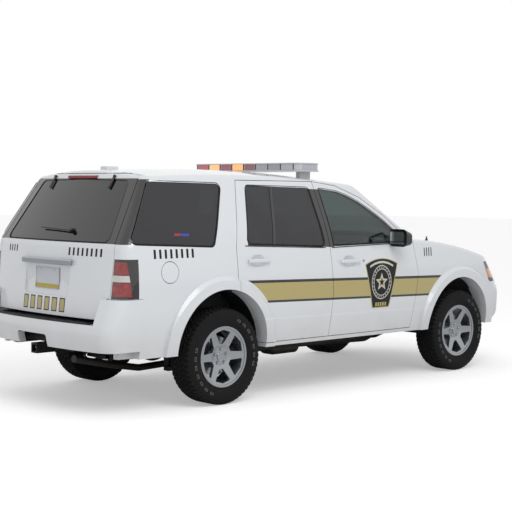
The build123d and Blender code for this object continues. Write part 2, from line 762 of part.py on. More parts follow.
def tailgate_pieces(shell):
    """Tailgate and its glass."""
    skin_all = shell & gate_opening()
    window = polygon([(y, z) for y, z in GATE_WINDOW] + [(-y, z) for y, z in reversed(GATE_WINDOW[:2])])
    window = fillet(window.vertices().filter_by(lambda v: abs(v.Y) > 10 or abs(v.X) > 10), 40)
    hole = crosswise(window, aft(-1300), aft(-500))
    plate = crosswise(Pos(0, PLATE_Z) * RectangleRounded(2 * PLATE_RECESS_HALF, PLATE_RECESS_TALL, 20),
                      aft(-1300), aft(-1000))
    points = [(aft(x), z) for x, z in TAIL]
    sunk = ahead_of_tail([(x + PLATE_RECESS_DEEP, z) for x, z in points], TAIL_RADII)
    lip = block((aft(GATE_LIP_AFT), 0), (-BEYOND, BEYOND), (GATE_WINDOW[-1][1] - 60, 2000))
    gate = skin_all - hole - (plate - sunk) - lip
    outer = ahead_of_tail([(x + GLASS_SINK, z) for x, z in points], TAIL_RADII)
    inner = ahead_of_tail([(x + GLASS_SINK + GLASS_THICK, z) for x, z in points], TAIL_RADII)
    glass = (outer - inner) & crosswise(window, aft(-1300), aft(-600))
    return gate, glass


def tail_x(y, z):
    """X of the tail's outer face."""
    low, mid, high = TAIL[1], TAIL[2], TAIL[3]
    a, b = (low, mid) if z < mid[1] else (mid, high)
    x = a[0] + (b[0] - a[0]) * (z - a[1]) / (b[1] - a[1])
    reach = TAIL_PLAN_RADIUS - (x - TAIL[1][0])
    return aft(TAIL[1][0]) + TAIL_PLAN_RADIUS - sqrt(reach ** 2 - y ** 2)


def tailgate_fittings():
    """Grab bar over the plate, glass hinges, wiper and high stop lamp."""
    bar_x = tail_x(0, 1090)
    bar = rounded((bar_x - 26, bar_x + 1), (-320, 320), (1068, 1112), 10)
    outside = ahead_of_tail([(aft(x) - SEAT, z) for x, z in TAIL], TAIL_RADII)
    stop_x = tail_x(0, 1722)
    pieces = [bar, rounded((stop_x - 14, stop_x + 30), (-184, 184), (1712, 1734), 5)]
    for side in (-1, 1):
        y = side * 384
        top, low = (tail_x(y, 1728) - 9, y, 1728), (tail_x(y, 1640) - 9, y, 1640)
        pieces.append(rod(top, low, 9) + Pos(*top) * Sphere(13))
    pieces = [piece - outside for piece in pieces]
    y, z = WIPER_AT
    pivot = (tail_x(y, z) + 20, y, z)
    tip = (tail_x(y + 400, z + 14) - 20, y + 400, z + 14)
    arm_start = (tail_x(y, z) - 22, y, z)
    wiper = rod(pivot, arm_start, 14) + Pos(*arm_start) * Sphere(16) + rod(arm_start, tip, 6)
    pieces.append(wiper - ahead_of_tail([(aft(x) + GLASS_SINK - SEAT, z) for x, z in TAIL], TAIL_RADII))
    return group(*pieces)


def rear_bumper():
    """Rear bumper: a hollow cover that wraps both corners and rises to the lamps."""
    points = [(aft(x), z) for x, z in BUMPER_TAIL]
    low, high = REAR_BUMPER_Z[0], TAIL_LAMP_Z[0] - 4
    form = outer_sides(low, 1200, REAR_BUMPER_PROUD) & ahead_of_tail(points, BUMPER_TAIL_RADII)
    form = fillet(corner_edges(form, aft(-1300), aft(-560)), BUMPER_CORNER)
    inner = [(x + BUMPER_WALL, z) for x, z in points]
    hollow = inner_sides(200, 1200, -SEAT) & ahead_of_tail(inner, BUMPER_TAIL_RADII)
    form = (form - hollow) & block((aft(-1300), aft(REAR_BUMPER_AFT) - 3), (-BEYOND, BEYOND), (low, high))
    form = form - block((aft(-1300), 0), (-BUMPER_RISER_HALF, BUMPER_RISER_HALF), (REAR_BUMPER_Z[1], 1000))
    corner = block((aft(-1300), 0), (-BEYOND, BEYOND), (GATE[1][1] - 40, 1000))
    form = form - (gate_opening(SHUT_GAP) & corner)
    ledge = block((aft(-1140), aft(-1062)), (-BUMPER_RISER_HALF, BUMPER_RISER_HALF),
                  (REAR_BUMPER_Z[1] - 14, REAR_BUMPER_Z[1]))
    notch = block((aft(-1300), aft(-1000)), (-HITCH_NOTCH_HALF, HITCH_NOTCH_HALF), (400, 560))
    return (form + (ledge & ahead_of_tail(points, BUMPER_TAIL_RADII))) - fillet(notch.edges().filter_by(Axis.X), 25)


def grille_pieces(blank):
    """Grille: a frame filled with crossbars and two uprights, all following the nose."""
    full = blank + mirrored(blank)
    half, low, high = LAMP_INNER_HALF - GRILLE_RIM, LAMP_BOTTOM + GRILLE_RIM, HOOD_LIP_Z - SHUT_GAP - GRILLE_RIM
    hole = crosswise(Pos(0, (low + high) / 2) * RectangleRounded(2 * half, high - low, 22), fore(300), fore(1000))
    frame = full - hole
    space = (behind_nose(14) - behind_nose(34)) & crosswise(Pos(0, (low + high) / 2) * Rectangle(2 * half + 8, high - low + 8),
                                                            fore(560), fore(1000))
    pitch = (high - low) / (GRILLE_BARS + 1)
    for count in range(GRILLE_BARS):
        z = low + (count + 1) * pitch
        frame = frame + (space & block((fore(300), fore(1000)), (-half - 4, half + 4), (z - 8, z + 8)))
    for y in (-half / 3, half / 3):
        frame = frame + (space & block((fore(300), fore(1000)), (y - 6, y + 6), (low - 4, high + 4)))
    return frame


def bumper_front(blank):
    """Front bumper with its lower intake and two fog lamp bowls."""
    full = blank + mirrored(blank)
    intake = crosswise(Pos(0, 545) * RectangleRounded(2 * INTAKE_HALF, INTAKE_TALL, 30), fore(300), fore(1000))
    for side in (-1, 1):
        full = full - crosswise(Pos(side * FOG_LAMP_HALF, 560) * Circle(FOG_LAMP_RADIUS), fore(300), fore(1000))
    slats = (behind_nose(20) - behind_nose(40)) & intake & block((fore(600), fore(1000)), (-500, 500), (300, 900))
    full = full - intake
    for z in (520, 570):
        full = full + (slats & block((fore(300), fore(1000)), (-INTAKE_HALF - 4, INTAKE_HALF + 4), (z - 6, z + 6)))
    return full


def fog_lamp():
    """Left fog lamp: a drum with a domed face set back in its bowl."""
    lamp = crosswise(Pos(FOG_LAMP_HALF, 560) * Circle(FOG_LAMP_RADIUS - SEAT), fore(300), fore(1000))
    return lamp & (behind_nose(12) - behind_nose(NOSE_THICK))


def front_pieces(panels, parts):
    """Hood, fenders, cowl, grille, bumper and lamps of the front."""
    skin_left = panels["skin"]
    for side, make in (("left", lambda s: s), ("right", mirrored)):
        parts[f"fender_{side}"] = make(largest(panels["fender"]))
    cowl = largest(panels["cowl_panel"])
    parts["cowl_panel"] = cowl + mirrored(cowl)
    parts["grille"] = grille_pieces(largest(panels["grille"]))
    parts["front_bumper"] = bumper_front(largest(panels["front_bumper"]))
    lamp = largest(skin_left & headlamp_space())
    parts["headlamps"] = pair(group(lamp, fog_lamp()))
    outer, inner = behind_screen(SCREEN_SINK), behind_screen(SCREEN_SINK + GLASS_THICK)
    parts["windscreen"] = (outer - inner) & screen_opening()


def rear_pieces(panels, parts):
    """Quarters, roof, tailgate, bumper and lamps of the rear."""
    quarter = largest(panels["quarter_panel"])
    well = drum(aft(FUEL_DOOR_AT[0]), FUEL_DOOR_AT[1], FUEL_DOOR_RADIUS, skin(aft(FUEL_DOOR_AT[0]), 1030) - 50, BEYOND)
    pane = side_glass(QUARTER_WINDOW, REAR_AXLE)
    parts["quarter_panel_left"] = quarter
    parts["quarter_panel_right"] = mirrored(quarter - well)
    parts["quarter_glass"] = pair(pane)
    flap = outer_sides(900, 1150) - outer_sides(900, 1150, -FUEL_DOOR_THICK)
    lid = drum(aft(FUEL_DOOR_AT[0]), FUEL_DOOR_AT[1], FUEL_DOOR_RADIUS - FUEL_DOOR_GAP, 600, BEYOND)
    cap = drum(aft(FUEL_DOOR_AT[0]), FUEL_DOOR_AT[1], 32, skin(aft(FUEL_DOOR_AT[0]), 1030) - 50,
               skin(aft(FUEL_DOOR_AT[0]), 1030) - 22)
    tab = drum(aft(FUEL_DOOR_AT[0]), FUEL_DOOR_AT[1], FUEL_DOOR_RADIUS + 2, skin(aft(FUEL_DOOR_AT[0]), 1030) - 40, 880)
    tab = tab - drum(aft(FUEL_DOOR_AT[0]), FUEL_DOOR_AT[1], FUEL_DOOR_RADIUS - FUEL_DOOR_GAP + SEAT, 700, BEYOND)
    tab = tab & block((aft(FUEL_DOOR_AT[0]) + 60, aft(FUEL_DOOR_AT[0]) + 120), (700, 900), (1018, 1042))
    parts["quarter_panel_right"] = parts["quarter_panel_right"] + mirrored(cap) + mirrored(tab)
    parts["fuel_door"] = mirrored(left_half(flap) & lid)
    parts["tailgate_fittings"] = tailgate_fittings()
    parts["rear_bumper"] = rear_bumper()
    pad = block((aft(-1138), aft(-1066)), (-STEP_PAD_HALF, STEP_PAD_HALF), (REAR_BUMPER_Z[1], REAR_BUMPER_Z[1] + 9))
    for count in range(5):
        x = aft(-1128 + 13 * count)
        pad = pad + block((x - 3, x + 3), (-STEP_PAD_HALF + 15, STEP_PAD_HALF - 15),
                          (REAR_BUMPER_Z[1] + 9, REAR_BUMPER_Z[1] + 12))
    parts["step_pad"] = pad & ahead_of_tail([(aft(x) + 8, z) for x, z in BUMPER_TAIL], BUMPER_TAIL_RADII)
    parts["tail_lamps"] = pair(largest(panels["skin"] & tail_lamp_space()))


def side_pieces(panels, parts):
    """Body sides, doors, their glass and the mirrors."""
    side = panels["body_side"] + door_frame()
    for leaf in hinge_leaves():
        side = side + leaf
    front_pane = side_glass(FRONT_DOOR_WINDOW, FRONT_AXLE)
    rear_pane = side_glass(REAR_DOOR_WINDOW, REAR_AXLE) - divider_bar()
    divider = divider_bar(-SEAT) & side_window(REAR_DOOR_WINDOW, REAR_AXLE) & left_half(
        outer_sides(1000, 1800, -1) - outer_sides(1000, 1800, -FRAME_THICK + 6))
    pieces = {"body_side": side, "front_door": panels["front_door"], "rear_door": panels["rear_door"] + divider,
              "front_door_glass": front_pane, "rear_door_glass": rear_pane, "door_mirror": mirror_head()}
    for name, solid in pieces.items():
        parts[f"{name}_left"] = solid
        parts[f"{name}_right"] = mirrored(solid)


def wheel(side):
    """Tyre and rim of the left front wheel, or of the right with side -1; centred on the wheel."""
    bead, wide = RIM_RADIUS - 9, TYRE_HALF
    tread = TYRE_RADIUS
    half = list(Polyline((bead, 95.7), (RIM_RADIUS + 1, 97.7), (bead + 52, wide), (tread - 48, wide - 3),
                         (tread - 8, wide - 22), (tread, wide - 40)).edges())
    other = [edge.mirror(Plane.XZ) for edge in half]
    edges = half + [Line((tread, wide - 40), (tread, 40 - wide))] + other + [Line((bead, -95.7), (bead, 95.7))]
    tyre = spun(edges)
    return tyre, rim(side)


def spun(edges):
    """Edges in (radius, y) turned about the wheel's axle."""
    face = Plane(origin=(0, 0, 0), x_dir=(1, 0, 0), z_dir=(0, 0, 1)) * make_face(edges)
    return revolve(face, Axis((0, 0, 0), (0, 1, 0)), 360)


def ring(points):
    """Closed profile of (radius, y) points turned about the wheel's axle."""
    return spun(list(Polyline(*points, close=True).edges()))


def rim(side):
    """Six-spoke rim with its hub, brake disc and blind cap. The spokes face outward, +Y."""
    barrel = ring([(RIM_RADIUS - 9.3, -96), (RIM_RADIUS - 1, -98), (RIM_RADIUS, -RIM_HALF), (RIM_RADIUS - 6, -RIM_HALF),
                   (RIM_RADIUS - 22, -90), (RIM_RADIUS - 30, -20), (RIM_RADIUS - 26, 60), (RIM_RADIUS - 16, RIM_HALF - 2),
                   (RIM_RADIUS, RIM_HALF), (RIM_RADIUS - 1, 98), (RIM_RADIUS - 9.3, 96)])
    face = ring([(0, 22), (70, 22), (84, 40), (RIM_RADIUS - 19, 66), (RIM_RADIUS - 12, 94), (RIM_RADIUS - 34, 90),
                 (92, 68), (70, 60), (0, 60)])
    pitch = 360 / SPOKES
    outer, inner = RIM_RADIUS - 34, 98
    half_out, half_in = radians(pitch / 2) - SPOKE_OUTER / outer, radians(pitch / 2) - SPOKE_INNER / inner
    window = polygon([(inner * sin(-half_in), inner * cos(half_in)), (outer * sin(-half_out), outer * cos(half_out)),
                      (0, outer + 6), (outer * sin(half_out), outer * cos(half_out)),
                      (inner * sin(half_in), inner * cos(half_in))])
    window = fillet(window.vertices(), 8)
    hole = Pos(0, 130, 0) * Rot(90, 0, 0) * extrude(window, 130)
    for count in range(SPOKES):
        face = face - hole.rotate(Axis.Y, count * pitch)
    hub = drum(0, 0, 62, -HUB_BACK, 30) + drum(0, 0, DISC_RADIUS, -HUB_BACK + 2, -HUB_BACK + 24)
    cap = drum(0, 0, 34, 58, 68)
    whole = barrel + face + hub + fillet(cap.edges(), 3)
    for count in range(WHEEL_STUDS):
        angle = radians(count * 360 / WHEEL_STUDS)
        x, z = WHEEL_BOLT_CIRCLE * sin(angle), WHEEL_BOLT_CIRCLE * cos(angle)
        whole = whole - drum(x, z, 13, 45, 80) + drum(x, z, 10, 44, 62)
    return whole


def wheels(parts):
    """Four tyres and four rims."""
    tyre, spoked = wheel(1)
    for row, axle in (("front", FRONT_AXLE), ("rear", REAR_AXLE)):
        for side, sign in (("left", 1), ("right", -1)):
            place = Pos(axle, sign * TRACK_HALF, TYRE_RADIUS)
            turn = Rot(0, 0, 0) if sign > 0 else Rot(0, 0, 180)
            parts[f"tyre_{row}_{side}"] = place * turn * tyre
            parts[f"rim_{row}_{side}"] = place * turn * spoked


def knuckle():
    """Left front knuckle: an upright between two ball-joint bosses, with its bearing and caliper."""
    y, z = KINGPIN_HALF, TYRE_RADIUS
    low, high = z - KNUCKLE_BELOW, z + KNUCKLE_ABOVE
    face = TRACK_HALF - HUB_BACK - SEAT
    upright = rounded((FRONT_AXLE - 34, FRONT_AXLE + 34), (y - 24, y + 20), (low + 8, high - 8), 8)
    upright = upright + Pos(FRONT_AXLE, y, low) * Cylinder(26, high - low, align=(Align.CENTER, Align.CENTER, Align.MIN))
    upright = upright + drum(FRONT_AXLE, z, 56, y - 20, face)
    return upright + caliper(FRONT_AXLE, y)


def caliper(x, y):
    """Brake caliper behind the axle, straddling the disc, with its bracket to an upright at y."""
    disc_low, disc_high = TRACK_HALF - HUB_BACK + 2, TRACK_HALF - HUB_BACK + 24
    z = TYRE_RADIUS + 30
    body = rounded((x - DISC_RADIUS - 22, x - DISC_RADIUS + 42), (disc_low - 34, disc_high + 26), (z - 62, z + 62), 8)
    slot = drum(x, TYRE_RADIUS, DISC_RADIUS + 7, disc_low - 6, disc_high + 6)
    bracket = block((x - DISC_RADIUS + 10, x), (y - 10, disc_low - 20), (z - 24, z + 24))
    hub = drum(x, TYRE_RADIUS, 70, disc_low - 6, 900)
    return (body - slot) + (bracket - hub)


def arm(inner_front, inner_rear, outer, thick, wide):
    """Wishbone: a flat plate from two frame pivots to one outer boss, all at the pivots' heights."""
    legs = None
    for inner in (inner_front, inner_rear):
        leg = rod(inner, outer, thick / 2)
        legs = leg if legs is None else legs + leg
    boss = Pos(*outer) * Cylinder(wide, thick)
    return legs + boss


def front_suspension():
    """Wishbones and spring legs of both front wheels."""
    y, z = KINGPIN_HALF, TYRE_RADIUS
    low, high = z - KNUCKLE_BELOW - SEAT - 14, z + KNUCKLE_ABOVE + SEAT + 11
    pieces = []
    rail = RAIL_OUTER
    lower = arm((FRONT_AXLE + 170, rail - 8, RAIL_Z - 20), (FRONT_AXLE - 190, rail - 8, RAIL_Z - 20),
                (FRONT_AXLE, y, low), 28, 26)
    upper = arm((FRONT_AXLE + 110, rail + 20, high), (FRONT_AXLE - 120, rail + 20, high), (FRONT_AXLE, y, high), 22, 24)
    tower = block((FRONT_AXLE - 150, FRONT_AXLE + 150), (rail - 12, rail + 34), (RAIL_Z - 30, high + 30))
    spring = rod((FRONT_AXLE, 560, low + 6), (FRONT_AXLE, 470, 760), 44) + rod(
        (FRONT_AXLE, 470, 760), (FRONT_AXLE, 460, 820), 22)
    top = block((FRONT_AXLE - 60, FRONT_AXLE + 60), (rail - 12, 520), (800, 830))
    lower = lower - Pos(FRONT_AXLE, y, low + 14) * Cylinder(52, 300, align=(Align.CENTER, Align.CENTER, Align.MIN))
    pieces = lower + upper + tower + spring + top + block((FRONT_AXLE - 60, FRONT_AXLE + 60), (rail - 12, rail + 34), (560, 830))
    return pair(pieces - block((fore(-500), fore(500)), (-10, RAIL_OUTER + SEAT), (0, 1200)))


def rear_suspension():
    """Rear final drive, half shafts, hub carriers, arms and springs."""
    z = TYRE_RADIUS
    face = TRACK_HALF - HUB_BACK - SEAT
    case = Pos(REAR_AXLE, 0, z + 6) * Sphere(128) & block((REAR_AXLE - 150, REAR_AXLE + 150), (-105, 105), (200, 600))
    nose = Pos(REAR_AXLE + 60, 0, z + 6) * Rot(0, 90, 0) * Cylinder(58, 200, align=(Align.CENTER, Align.CENTER, Align.MIN))
    whole = case + nose
    side = drum(REAR_AXLE, z, 24, 90, 640) + drum(REAR_AXLE, z, 44, 95, 170) + drum(REAR_AXLE, z, 44, 560, 640)
    carrier = rounded((REAR_AXLE - 42, REAR_AXLE + 42), (640, 700), (z - 135, z + 125), 10) + drum(REAR_AXLE, z, 60, 640, face)
    plate = block((REAR_AXLE - 180, REAR_AXLE + 45), (385, 645), (z - 135, z - 108))
    trailing = rod((aft(520), 380, 372), (REAR_AXLE + 20, 650, z - 80), 22)
    trailing = trailing - block((aft(400), aft(700)), (0, RAIL_OUTER + SEAT), (0, 700))
    upper = rod((REAR_AXLE, 390, z + 100), (REAR_AXLE, 660, z + 108), 18)
    spring = rod((REAR_AXLE - 130, 548, z - 110), (REAR_AXLE - 130, 520, SPRING_TOP), 44)
    ring = block((REAR_AXLE - 150, REAR_AXLE + 150), (335, 395), (z - 150, RAIL_HIGH - RAIL_TALL / 2 - SEAT))
    ring = ring - block((REAR_AXLE - 110, REAR_AXLE + 110), (300, 420), (z - 110, z + 85))
    bar = block((REAR_AXLE - 35, REAR_AXLE + 35), (0, 340), (z + 85, z + 115))
    side = side + carrier + plate + trailing + upper + ring + bar + caliper(REAR_AXLE, 680)
    side = side + (spring & block((-3000, 3000), (0, 900), (0, SPRING_TOP - SEAT)))
    return whole + side + mirrored(side)


def chassis_frame():
    """Ladder frame: two rails that kick up over the rear axle, crossmembers and the hitch receiver."""
    line = [(fore(790), RAIL_Z + 40), (fore(260), RAIL_Z), (fore(-300), RAIL_Z), (fore(-600), RAIL_LOW),
            (aft(370), RAIL_LOW), (aft(160), RAIL_HIGH), (aft(-420), RAIL_HIGH), (aft(-700), RAIL_TAIL),
            (aft(-1100), RAIL_TAIL)]
    top = [(x, z + RAIL_TALL / 2) for x, z in line]
    bottom = [(x, z - RAIL_TALL / 2) for x, z in reversed(line)]
    rail = through(polygon(top + bottom), RAIL_INNER, RAIL_OUTER)
    rail = rail & behind_nose(NOSE_THICK + SEAT)
    rail = rail + (through(polygon(top + bottom), RAIL_INNER, RAIL_OUTER) & block((-3000, fore(-700)), (0, 900), (0, 900)))
    inner = [(aft(x) + BUMPER_WALL + SEAT, z) for x, z in BUMPER_TAIL]
    hollow = block((-3000, aft(-700)), (0, 900), (0, 900)) - ahead_of_tail(inner, BUMPER_TAIL_RADII)
    rail = rail - hollow
    seat_pad = block((REAR_AXLE - 190, REAR_AXLE - 70), (RAIL_OUTER - 5, 585), (SPRING_TOP, SPRING_TOP + 28))
    rail = rail + seat_pad
    pieces = [rail, mirrored(rail)]
    reach = RAIL_INNER - SEAT
    for x, z, deep, tall in CROSSMEMBERS:
        pieces.append(block((x - deep / 2, x + deep / 2), (-reach, reach), (z - tall / 2, z + tall / 2)))
    half = HITCH_TUBE_HALF
    tube = block((aft(-1125), aft(-960)), (-half, half), (HITCH_Z - half, HITCH_Z + half))
    bore = block((aft(-1200), aft(-985)), (-HITCH_BORE, HITCH_BORE), (HITCH_Z - HITCH_BORE, HITCH_Z + HITCH_BORE))
    pieces.append(tube - bore - drum(aft(HITCH_PIN_AFT), HITCH_Z, HITCH_PIN_RADIUS, -60, 60))
    return group(*pieces)


def floor_pan():
    """Floor, firewall, raised load floor and rear body panel."""
    back = aft(-955)
    top = [(fore(-560), 1150), (fore(-560), 700), (fore(-640), FLOOR_Z), (aft(395), FLOOR_Z), (aft(375), LOAD_FLOOR_Z),
           (back, LOAD_FLOOR_Z)]
    under = [(fore(-560) + FLOOR_THICK, 1150), (fore(-560) + FLOOR_THICK, 690), (fore(-625), FLOOR_Z - FLOOR_THICK),
             (aft(395) - 12, FLOOR_Z - FLOOR_THICK), (aft(375) - 12, LOAD_FLOOR_Z - FLOOR_THICK),
             (back, LOAD_FLOOR_Z - FLOOR_THICK)]
    pan = through(polygon(top + list(reversed(under))), -BEYOND, BEYOND)
    pan = pan & inner_sides(250, 1170, JAMB_THICK + SEAT)
    half, high = TUNNEL
    tunnel = block((aft(560), fore(-545)), (-half, half), (FLOOR_Z - 5, high))
    hollow = block((aft(550), fore(-500)), (-half + TUNNEL_WALL, half - TUNNEL_WALL), (300, high - TUNNEL_WALL))
    pan = pan + tunnel - hollow
    well = arches(LINER_WALL, LINER_INNER - 4, BEYOND)
    return pan - well - mirrored(well)


def wheel_liners():
    """Half-round linings of the four wheel openings."""
    found = []
    for axle, (shift, z, opening, _), low in ((REAR_AXLE, REAR_ARCH, LINER_INNER), (FRONT_AXLE, FRONT_ARCH, FRONT_LINER_INNER)):
        x = axle + shift
        outer = drum(x, z, opening + LINER_WALL - SEAT, low, BEYOND) & inner_sides(250, 1200, SEAT)
        shell = outer - drum(x, z, opening + 1, low + (4 if axle < 0 else -10), BEYOND)
        shell = shell - (drum(x, z, opening + 1, low - 1, BEYOND) & block((x - 600, x + 600), (0, BEYOND), (0, 650)))
        shell = shell & block((x - 600, x + 600), (0, BEYOND), (z - LINER_DROP, 1100))
        found.append(shell)
    return pair(group(*found))


def power_unit():
    """Engine with its gearbox, as plain masses on their mounts."""
    engine = rounded((fore(-470), fore(190)), (-270, 270), (ENGINE_LOW, ENGINE_HIGH), 30)
    bell = rod((fore(-640), 0, GEARBOX_Z), (fore(-465), 0, GEARBOX_Z), 118)
    box = rod((fore(-1250), 0, GEARBOX_Z - 10), (fore(-630), 0, GEARBOX_Z - 10), 100)
    mounts = block((fore(-160), fore(-60)), (-RAIL_INNER + SEAT, RAIL_INNER - SEAT), (ENGINE_LOW + 30, ENGINE_LOW + 80))
    return engine + bell + box + mounts


def driveline():
    """Propeller shaft from the gearbox to the final drive, with its joints."""
    front, rear = (fore(-1250) - SEAT, 0, GEARBOX_Z - 10), (REAR_AXLE + 260 + SEAT, 0, TYRE_RADIUS + 6)
    start, end = (front[0] - 60, 0, front[2]), (rear[0] + 60, 0, rear[2])
    return rod(front, start, 52) + rod(start, end, 34) + rod(end, rear, 52)


def exhaust():
    """Exhaust: pipe, silencer and tailpipe, hung on the left of the frame's middle."""
    y = EXHAUST_HALF
    points = [(fore(-300), -y, ENGINE_LOW + 20), (fore(-330), -y, 330), (fore(-520), -y, 268), (fore(-1400), -y, 285),
              (aft(700), -y, 285), (aft(300), -y - 20, 262), (aft(-300), -y - 20, 240), (aft(-620), -y - 90, 300),
              (aft(-1010), -y - 160, 385)]
    path = FilletPolyline(*points, radius=PIPE_BEND)
    start = Plane(origin=points[0], z_dir=path % 0)
    silencer = rounded((fore(-1810), fore(-1460)), (-y - 100, -y + 90), (225, 348), 50)
    whole = silencer + sweep(start * Circle(PIPE_RADIUS), path=path)
    hanger = block((fore(-1650), fore(-1620)), (-y - 30, -y + 30), (340, FLOOR_Z - FLOOR_THICK - SEAT))
    engine = block((fore(-470), fore(190)), (-270, 270), (ENGINE_LOW - SEAT, ENGINE_HIGH))
    return whole + hanger - engine


def fuel_tank():
    """Fuel tank beside the propeller shaft, held up under the floor."""
    high = FLOOR_Z - FLOOR_THICK - SEAT
    return rounded((aft(640), aft(1420)), (95, RAIL_INNER - 12), (TANK_BOTTOM, high), 40)


def radiator():
    """Radiator pack behind the grille, standing on the frame's first crossmember."""
    low = CROSSMEMBERS[0][1] + CROSSMEMBERS[0][3] / 2 + SEAT
    half, wall, high = RADIATOR_HALF, 35, RADIATOR_TOP
    core = block((fore(500), fore(560)), (-half, half), (low + 30, high - 20))
    whole = core + block((fore(488), fore(572)), (-half, half), (high - 30, high))
    whole = whole + block((fore(488), fore(572)), (-half, half), (low, low + 34))
    for side in (-1, 1):
        tank_y = side * (half - wall / 2)
        whole = whole + block((fore(492), fore(568)), (tank_y - wall / 2, tank_y + wall / 2), (low, high))
        stop = rod((fore(530), side * 260, high - 10), (fore(530), side * 260, 1200), 14)
        whole = whole + (stop & under_hood(HOOD_THICK + SEAT))
    return whole


def dashboard():
    """Instrument panel from door to door, with the centre console."""
    half = DOOR_INNER_HALF - JAMB_THICK - 12
    back = fore(-560) - SEAT
    face = shape((back, 700), (back, 1100), ((fore(-700), 1165), (fore(-900), 1105)), (fore(-930), 1020),
                 ((fore(-880), 860), (fore(-760), 760)), (fore(-700), 700))
    face = fillet(face.vertices().sort_by(Axis.X)[:3], 20)
    panel = through(face, -half, half)
    console = rounded((fore(-1560), fore(-640)), (-120, 120), (TUNNEL[1] + SEAT, 745), 25)
    hood = loft([Pos(fore(-760), DRIVER_Y, 1120) * Rot(0, 90, 0) * RectangleRounded(60, 300, 28),
                 Pos(fore(-930), DRIVER_Y, 1110) * Rot(0, 90, 0) * RectangleRounded(110, 380, 50)])
    socket = wheel_plane() * Cylinder(COLUMN_RADIUS + SEAT, COLUMN_LONG + 2, align=(Align.CENTER, Align.CENTER, Align.MAX))
    return panel + console + hood - socket


def wheel_plane():
    """Plane of the steering wheel's hoop; its normal points at the driver."""
    rake = radians(WHEEL_RAKE)
    return Plane(origin=(fore(-1110), DRIVER_Y, 1015), z_dir=(-cos(rake), 0, sin(rake)))


def steering_wheel():
    """Steering wheel, its hub and column, raked towards the driver."""
    plane = wheel_plane()
    hoop = plane * Torus(185, 15)
    hub = plane * Cylinder(55, 40)
    spokes = hub
    for angle in (0, 90, 180):
        spoke = plane * (Rot(0, 0, angle) * Pos(110, 0, 0) * Box(160, 34, 16))
        spokes = spokes + spoke
    column = plane * Cylinder(COLUMN_RADIUS, COLUMN_LONG, align=(Align.CENTER, Align.CENTER, Align.MAX))
    return hoop + spokes + column


def seat(x, y, low, wide):
    """Seat's pads: squab, backrest and headrest, each resting on the one below."""
    squab = rounded((x - 240, x + 270), (y - wide / 2, y + wide / 2), (low, low + SQUAB_TALL), 40)
    lean = radians(BACK_LEAN)
    foot = Pos(x - 215, y, low + 60) * Rot(0, -BACK_LEAN, 0)
    tall = HEADREST_UP - HEADREST_TALL / 2 - SEAT
    back = fillet((foot * Box(130, wide - 20, tall, align=(Align.CENTER, Align.CENTER, Align.MIN))).edges(), 40)
    back = back - block((x - 400, x + 400), (y - wide, y + wide), (0, low + SQUAB_TALL + SEAT))
    middle = Pos(x - 215 - HEADREST_UP * sin(lean), y, low + 60 + HEADREST_UP * cos(lean))
    rest = fillet((middle * Rot(0, -BACK_LEAN, 0) * Box(90, 250, HEADREST_TALL)).edges(), 30)
    return [squab, back, rest]


def seats(parts):
    """Two front seats and the rear bench, on their bases."""
    x = fore(-1420)
    base = block((x - 200, x + 200), (DRIVER_Y - 205, DRIVER_Y + 205), (FLOOR_Z + SEAT, SQUAB_Z - SEAT))
    driver = seat(x, DRIVER_Y, SQUAB_Z, 520) + [base]
    parts["front_seats"] = group(*driver, *[mirrored(piece) for piece in driver])
    foot = block((aft(440), aft(780)), (TUNNEL[0] + SEAT, BENCH_HALF - 10), (FLOOR_Z + SEAT, REAR_SQUAB_Z - SEAT))
    bench = [foot, mirrored(foot)]
    wide = 2 * BENCH_HALF / 3
    for y in (-wide, 0, wide):
        bench = bench + seat(aft(590), y, REAR_SQUAB_Z, wide - SEAT)
    parts["rear_bench"] = group(*bench)


def roof_z(x, y):
    """Height of the roof's outer face."""
    along = ROOF_LONG_RADIUS - sqrt(ROOF_LONG_RADIUS ** 2 - (x - aft(ROOF_CROWN_AFT)) ** 2)
    return ROOF_Z - along - (ROOF_CROSS_RADIUS - sqrt(ROOF_CROSS_RADIUS ** 2 - y ** 2))


def light_bar(parts):
    """Emergency light bar: tray and lid on two feet, and its lamp modules."""
    x, low = aft(BAR_AFT), BAR_LOW
    plan = RectangleRounded(BAR_DEEP, 2 * BAR_HALF, 70)
    tray = Pos(x, 0, low) * extrude(plan, BAR_TRAY)
    lid = Pos(x, 0, low + BAR_TRAY + BAR_LENS) * extrude(plan, BAR_LID)
    lid = fillet(lid.edges().group_by(Axis.Z)[-1], BAR_LID - 2)
    spine = block((x - 18, x + 18), (-BAR_HALF + 60, BAR_HALF - 60), (low + BAR_TRAY - 1, low + BAR_TRAY + BAR_LENS + 1))
    body = tray + lid + spine
    feet = []
    for side in (-1, 1):
        y = side * BAR_FOOT_HALF
        foot = block((x - 60, x + 60), (min(y, y + side * 46), max(y, y + side * 46)),
                     (roof_z(x, BAR_FOOT_HALF + 46) - 30, low + 2))
        feet.append(foot)
    body = body + feet[0] + feet[1]
    parts["light_bar"] = body - under_roof(-SEAT)
    lens = Pos(x, 0, low + BAR_TRAY + SEAT) * extrude(RectangleRounded(BAR_DEEP - 12, 2 * BAR_HALF - 12, 64),
                                                      BAR_LENS - 2 * SEAT)
    lens = lens - block((x - 18 - SEAT, x + 18 + SEAT), (-BAR_HALF + 60 - SEAT, BAR_HALF - 60 + SEAT), (low, low + 200))
    pitch = 2 * (BAR_HALF - 62) / BAR_MODULES
    for count in range(BAR_MODULES + 1):
        y = -BAR_HALF + 62 + count * pitch
        lens = lens - block((x - 300, x + 300), (y - 2, y + 2), (low, low + 200))
    parts["light_bar_lenses"] = group(lens)
    puck = rounded((aft(-490), aft(-375)), (-45, 45), (roof_z(aft(-430), 0) - 20, roof_z(aft(-430), 0) + 24), 9)
    parts["roof_antenna"] = puck - under_roof(-SEAT)


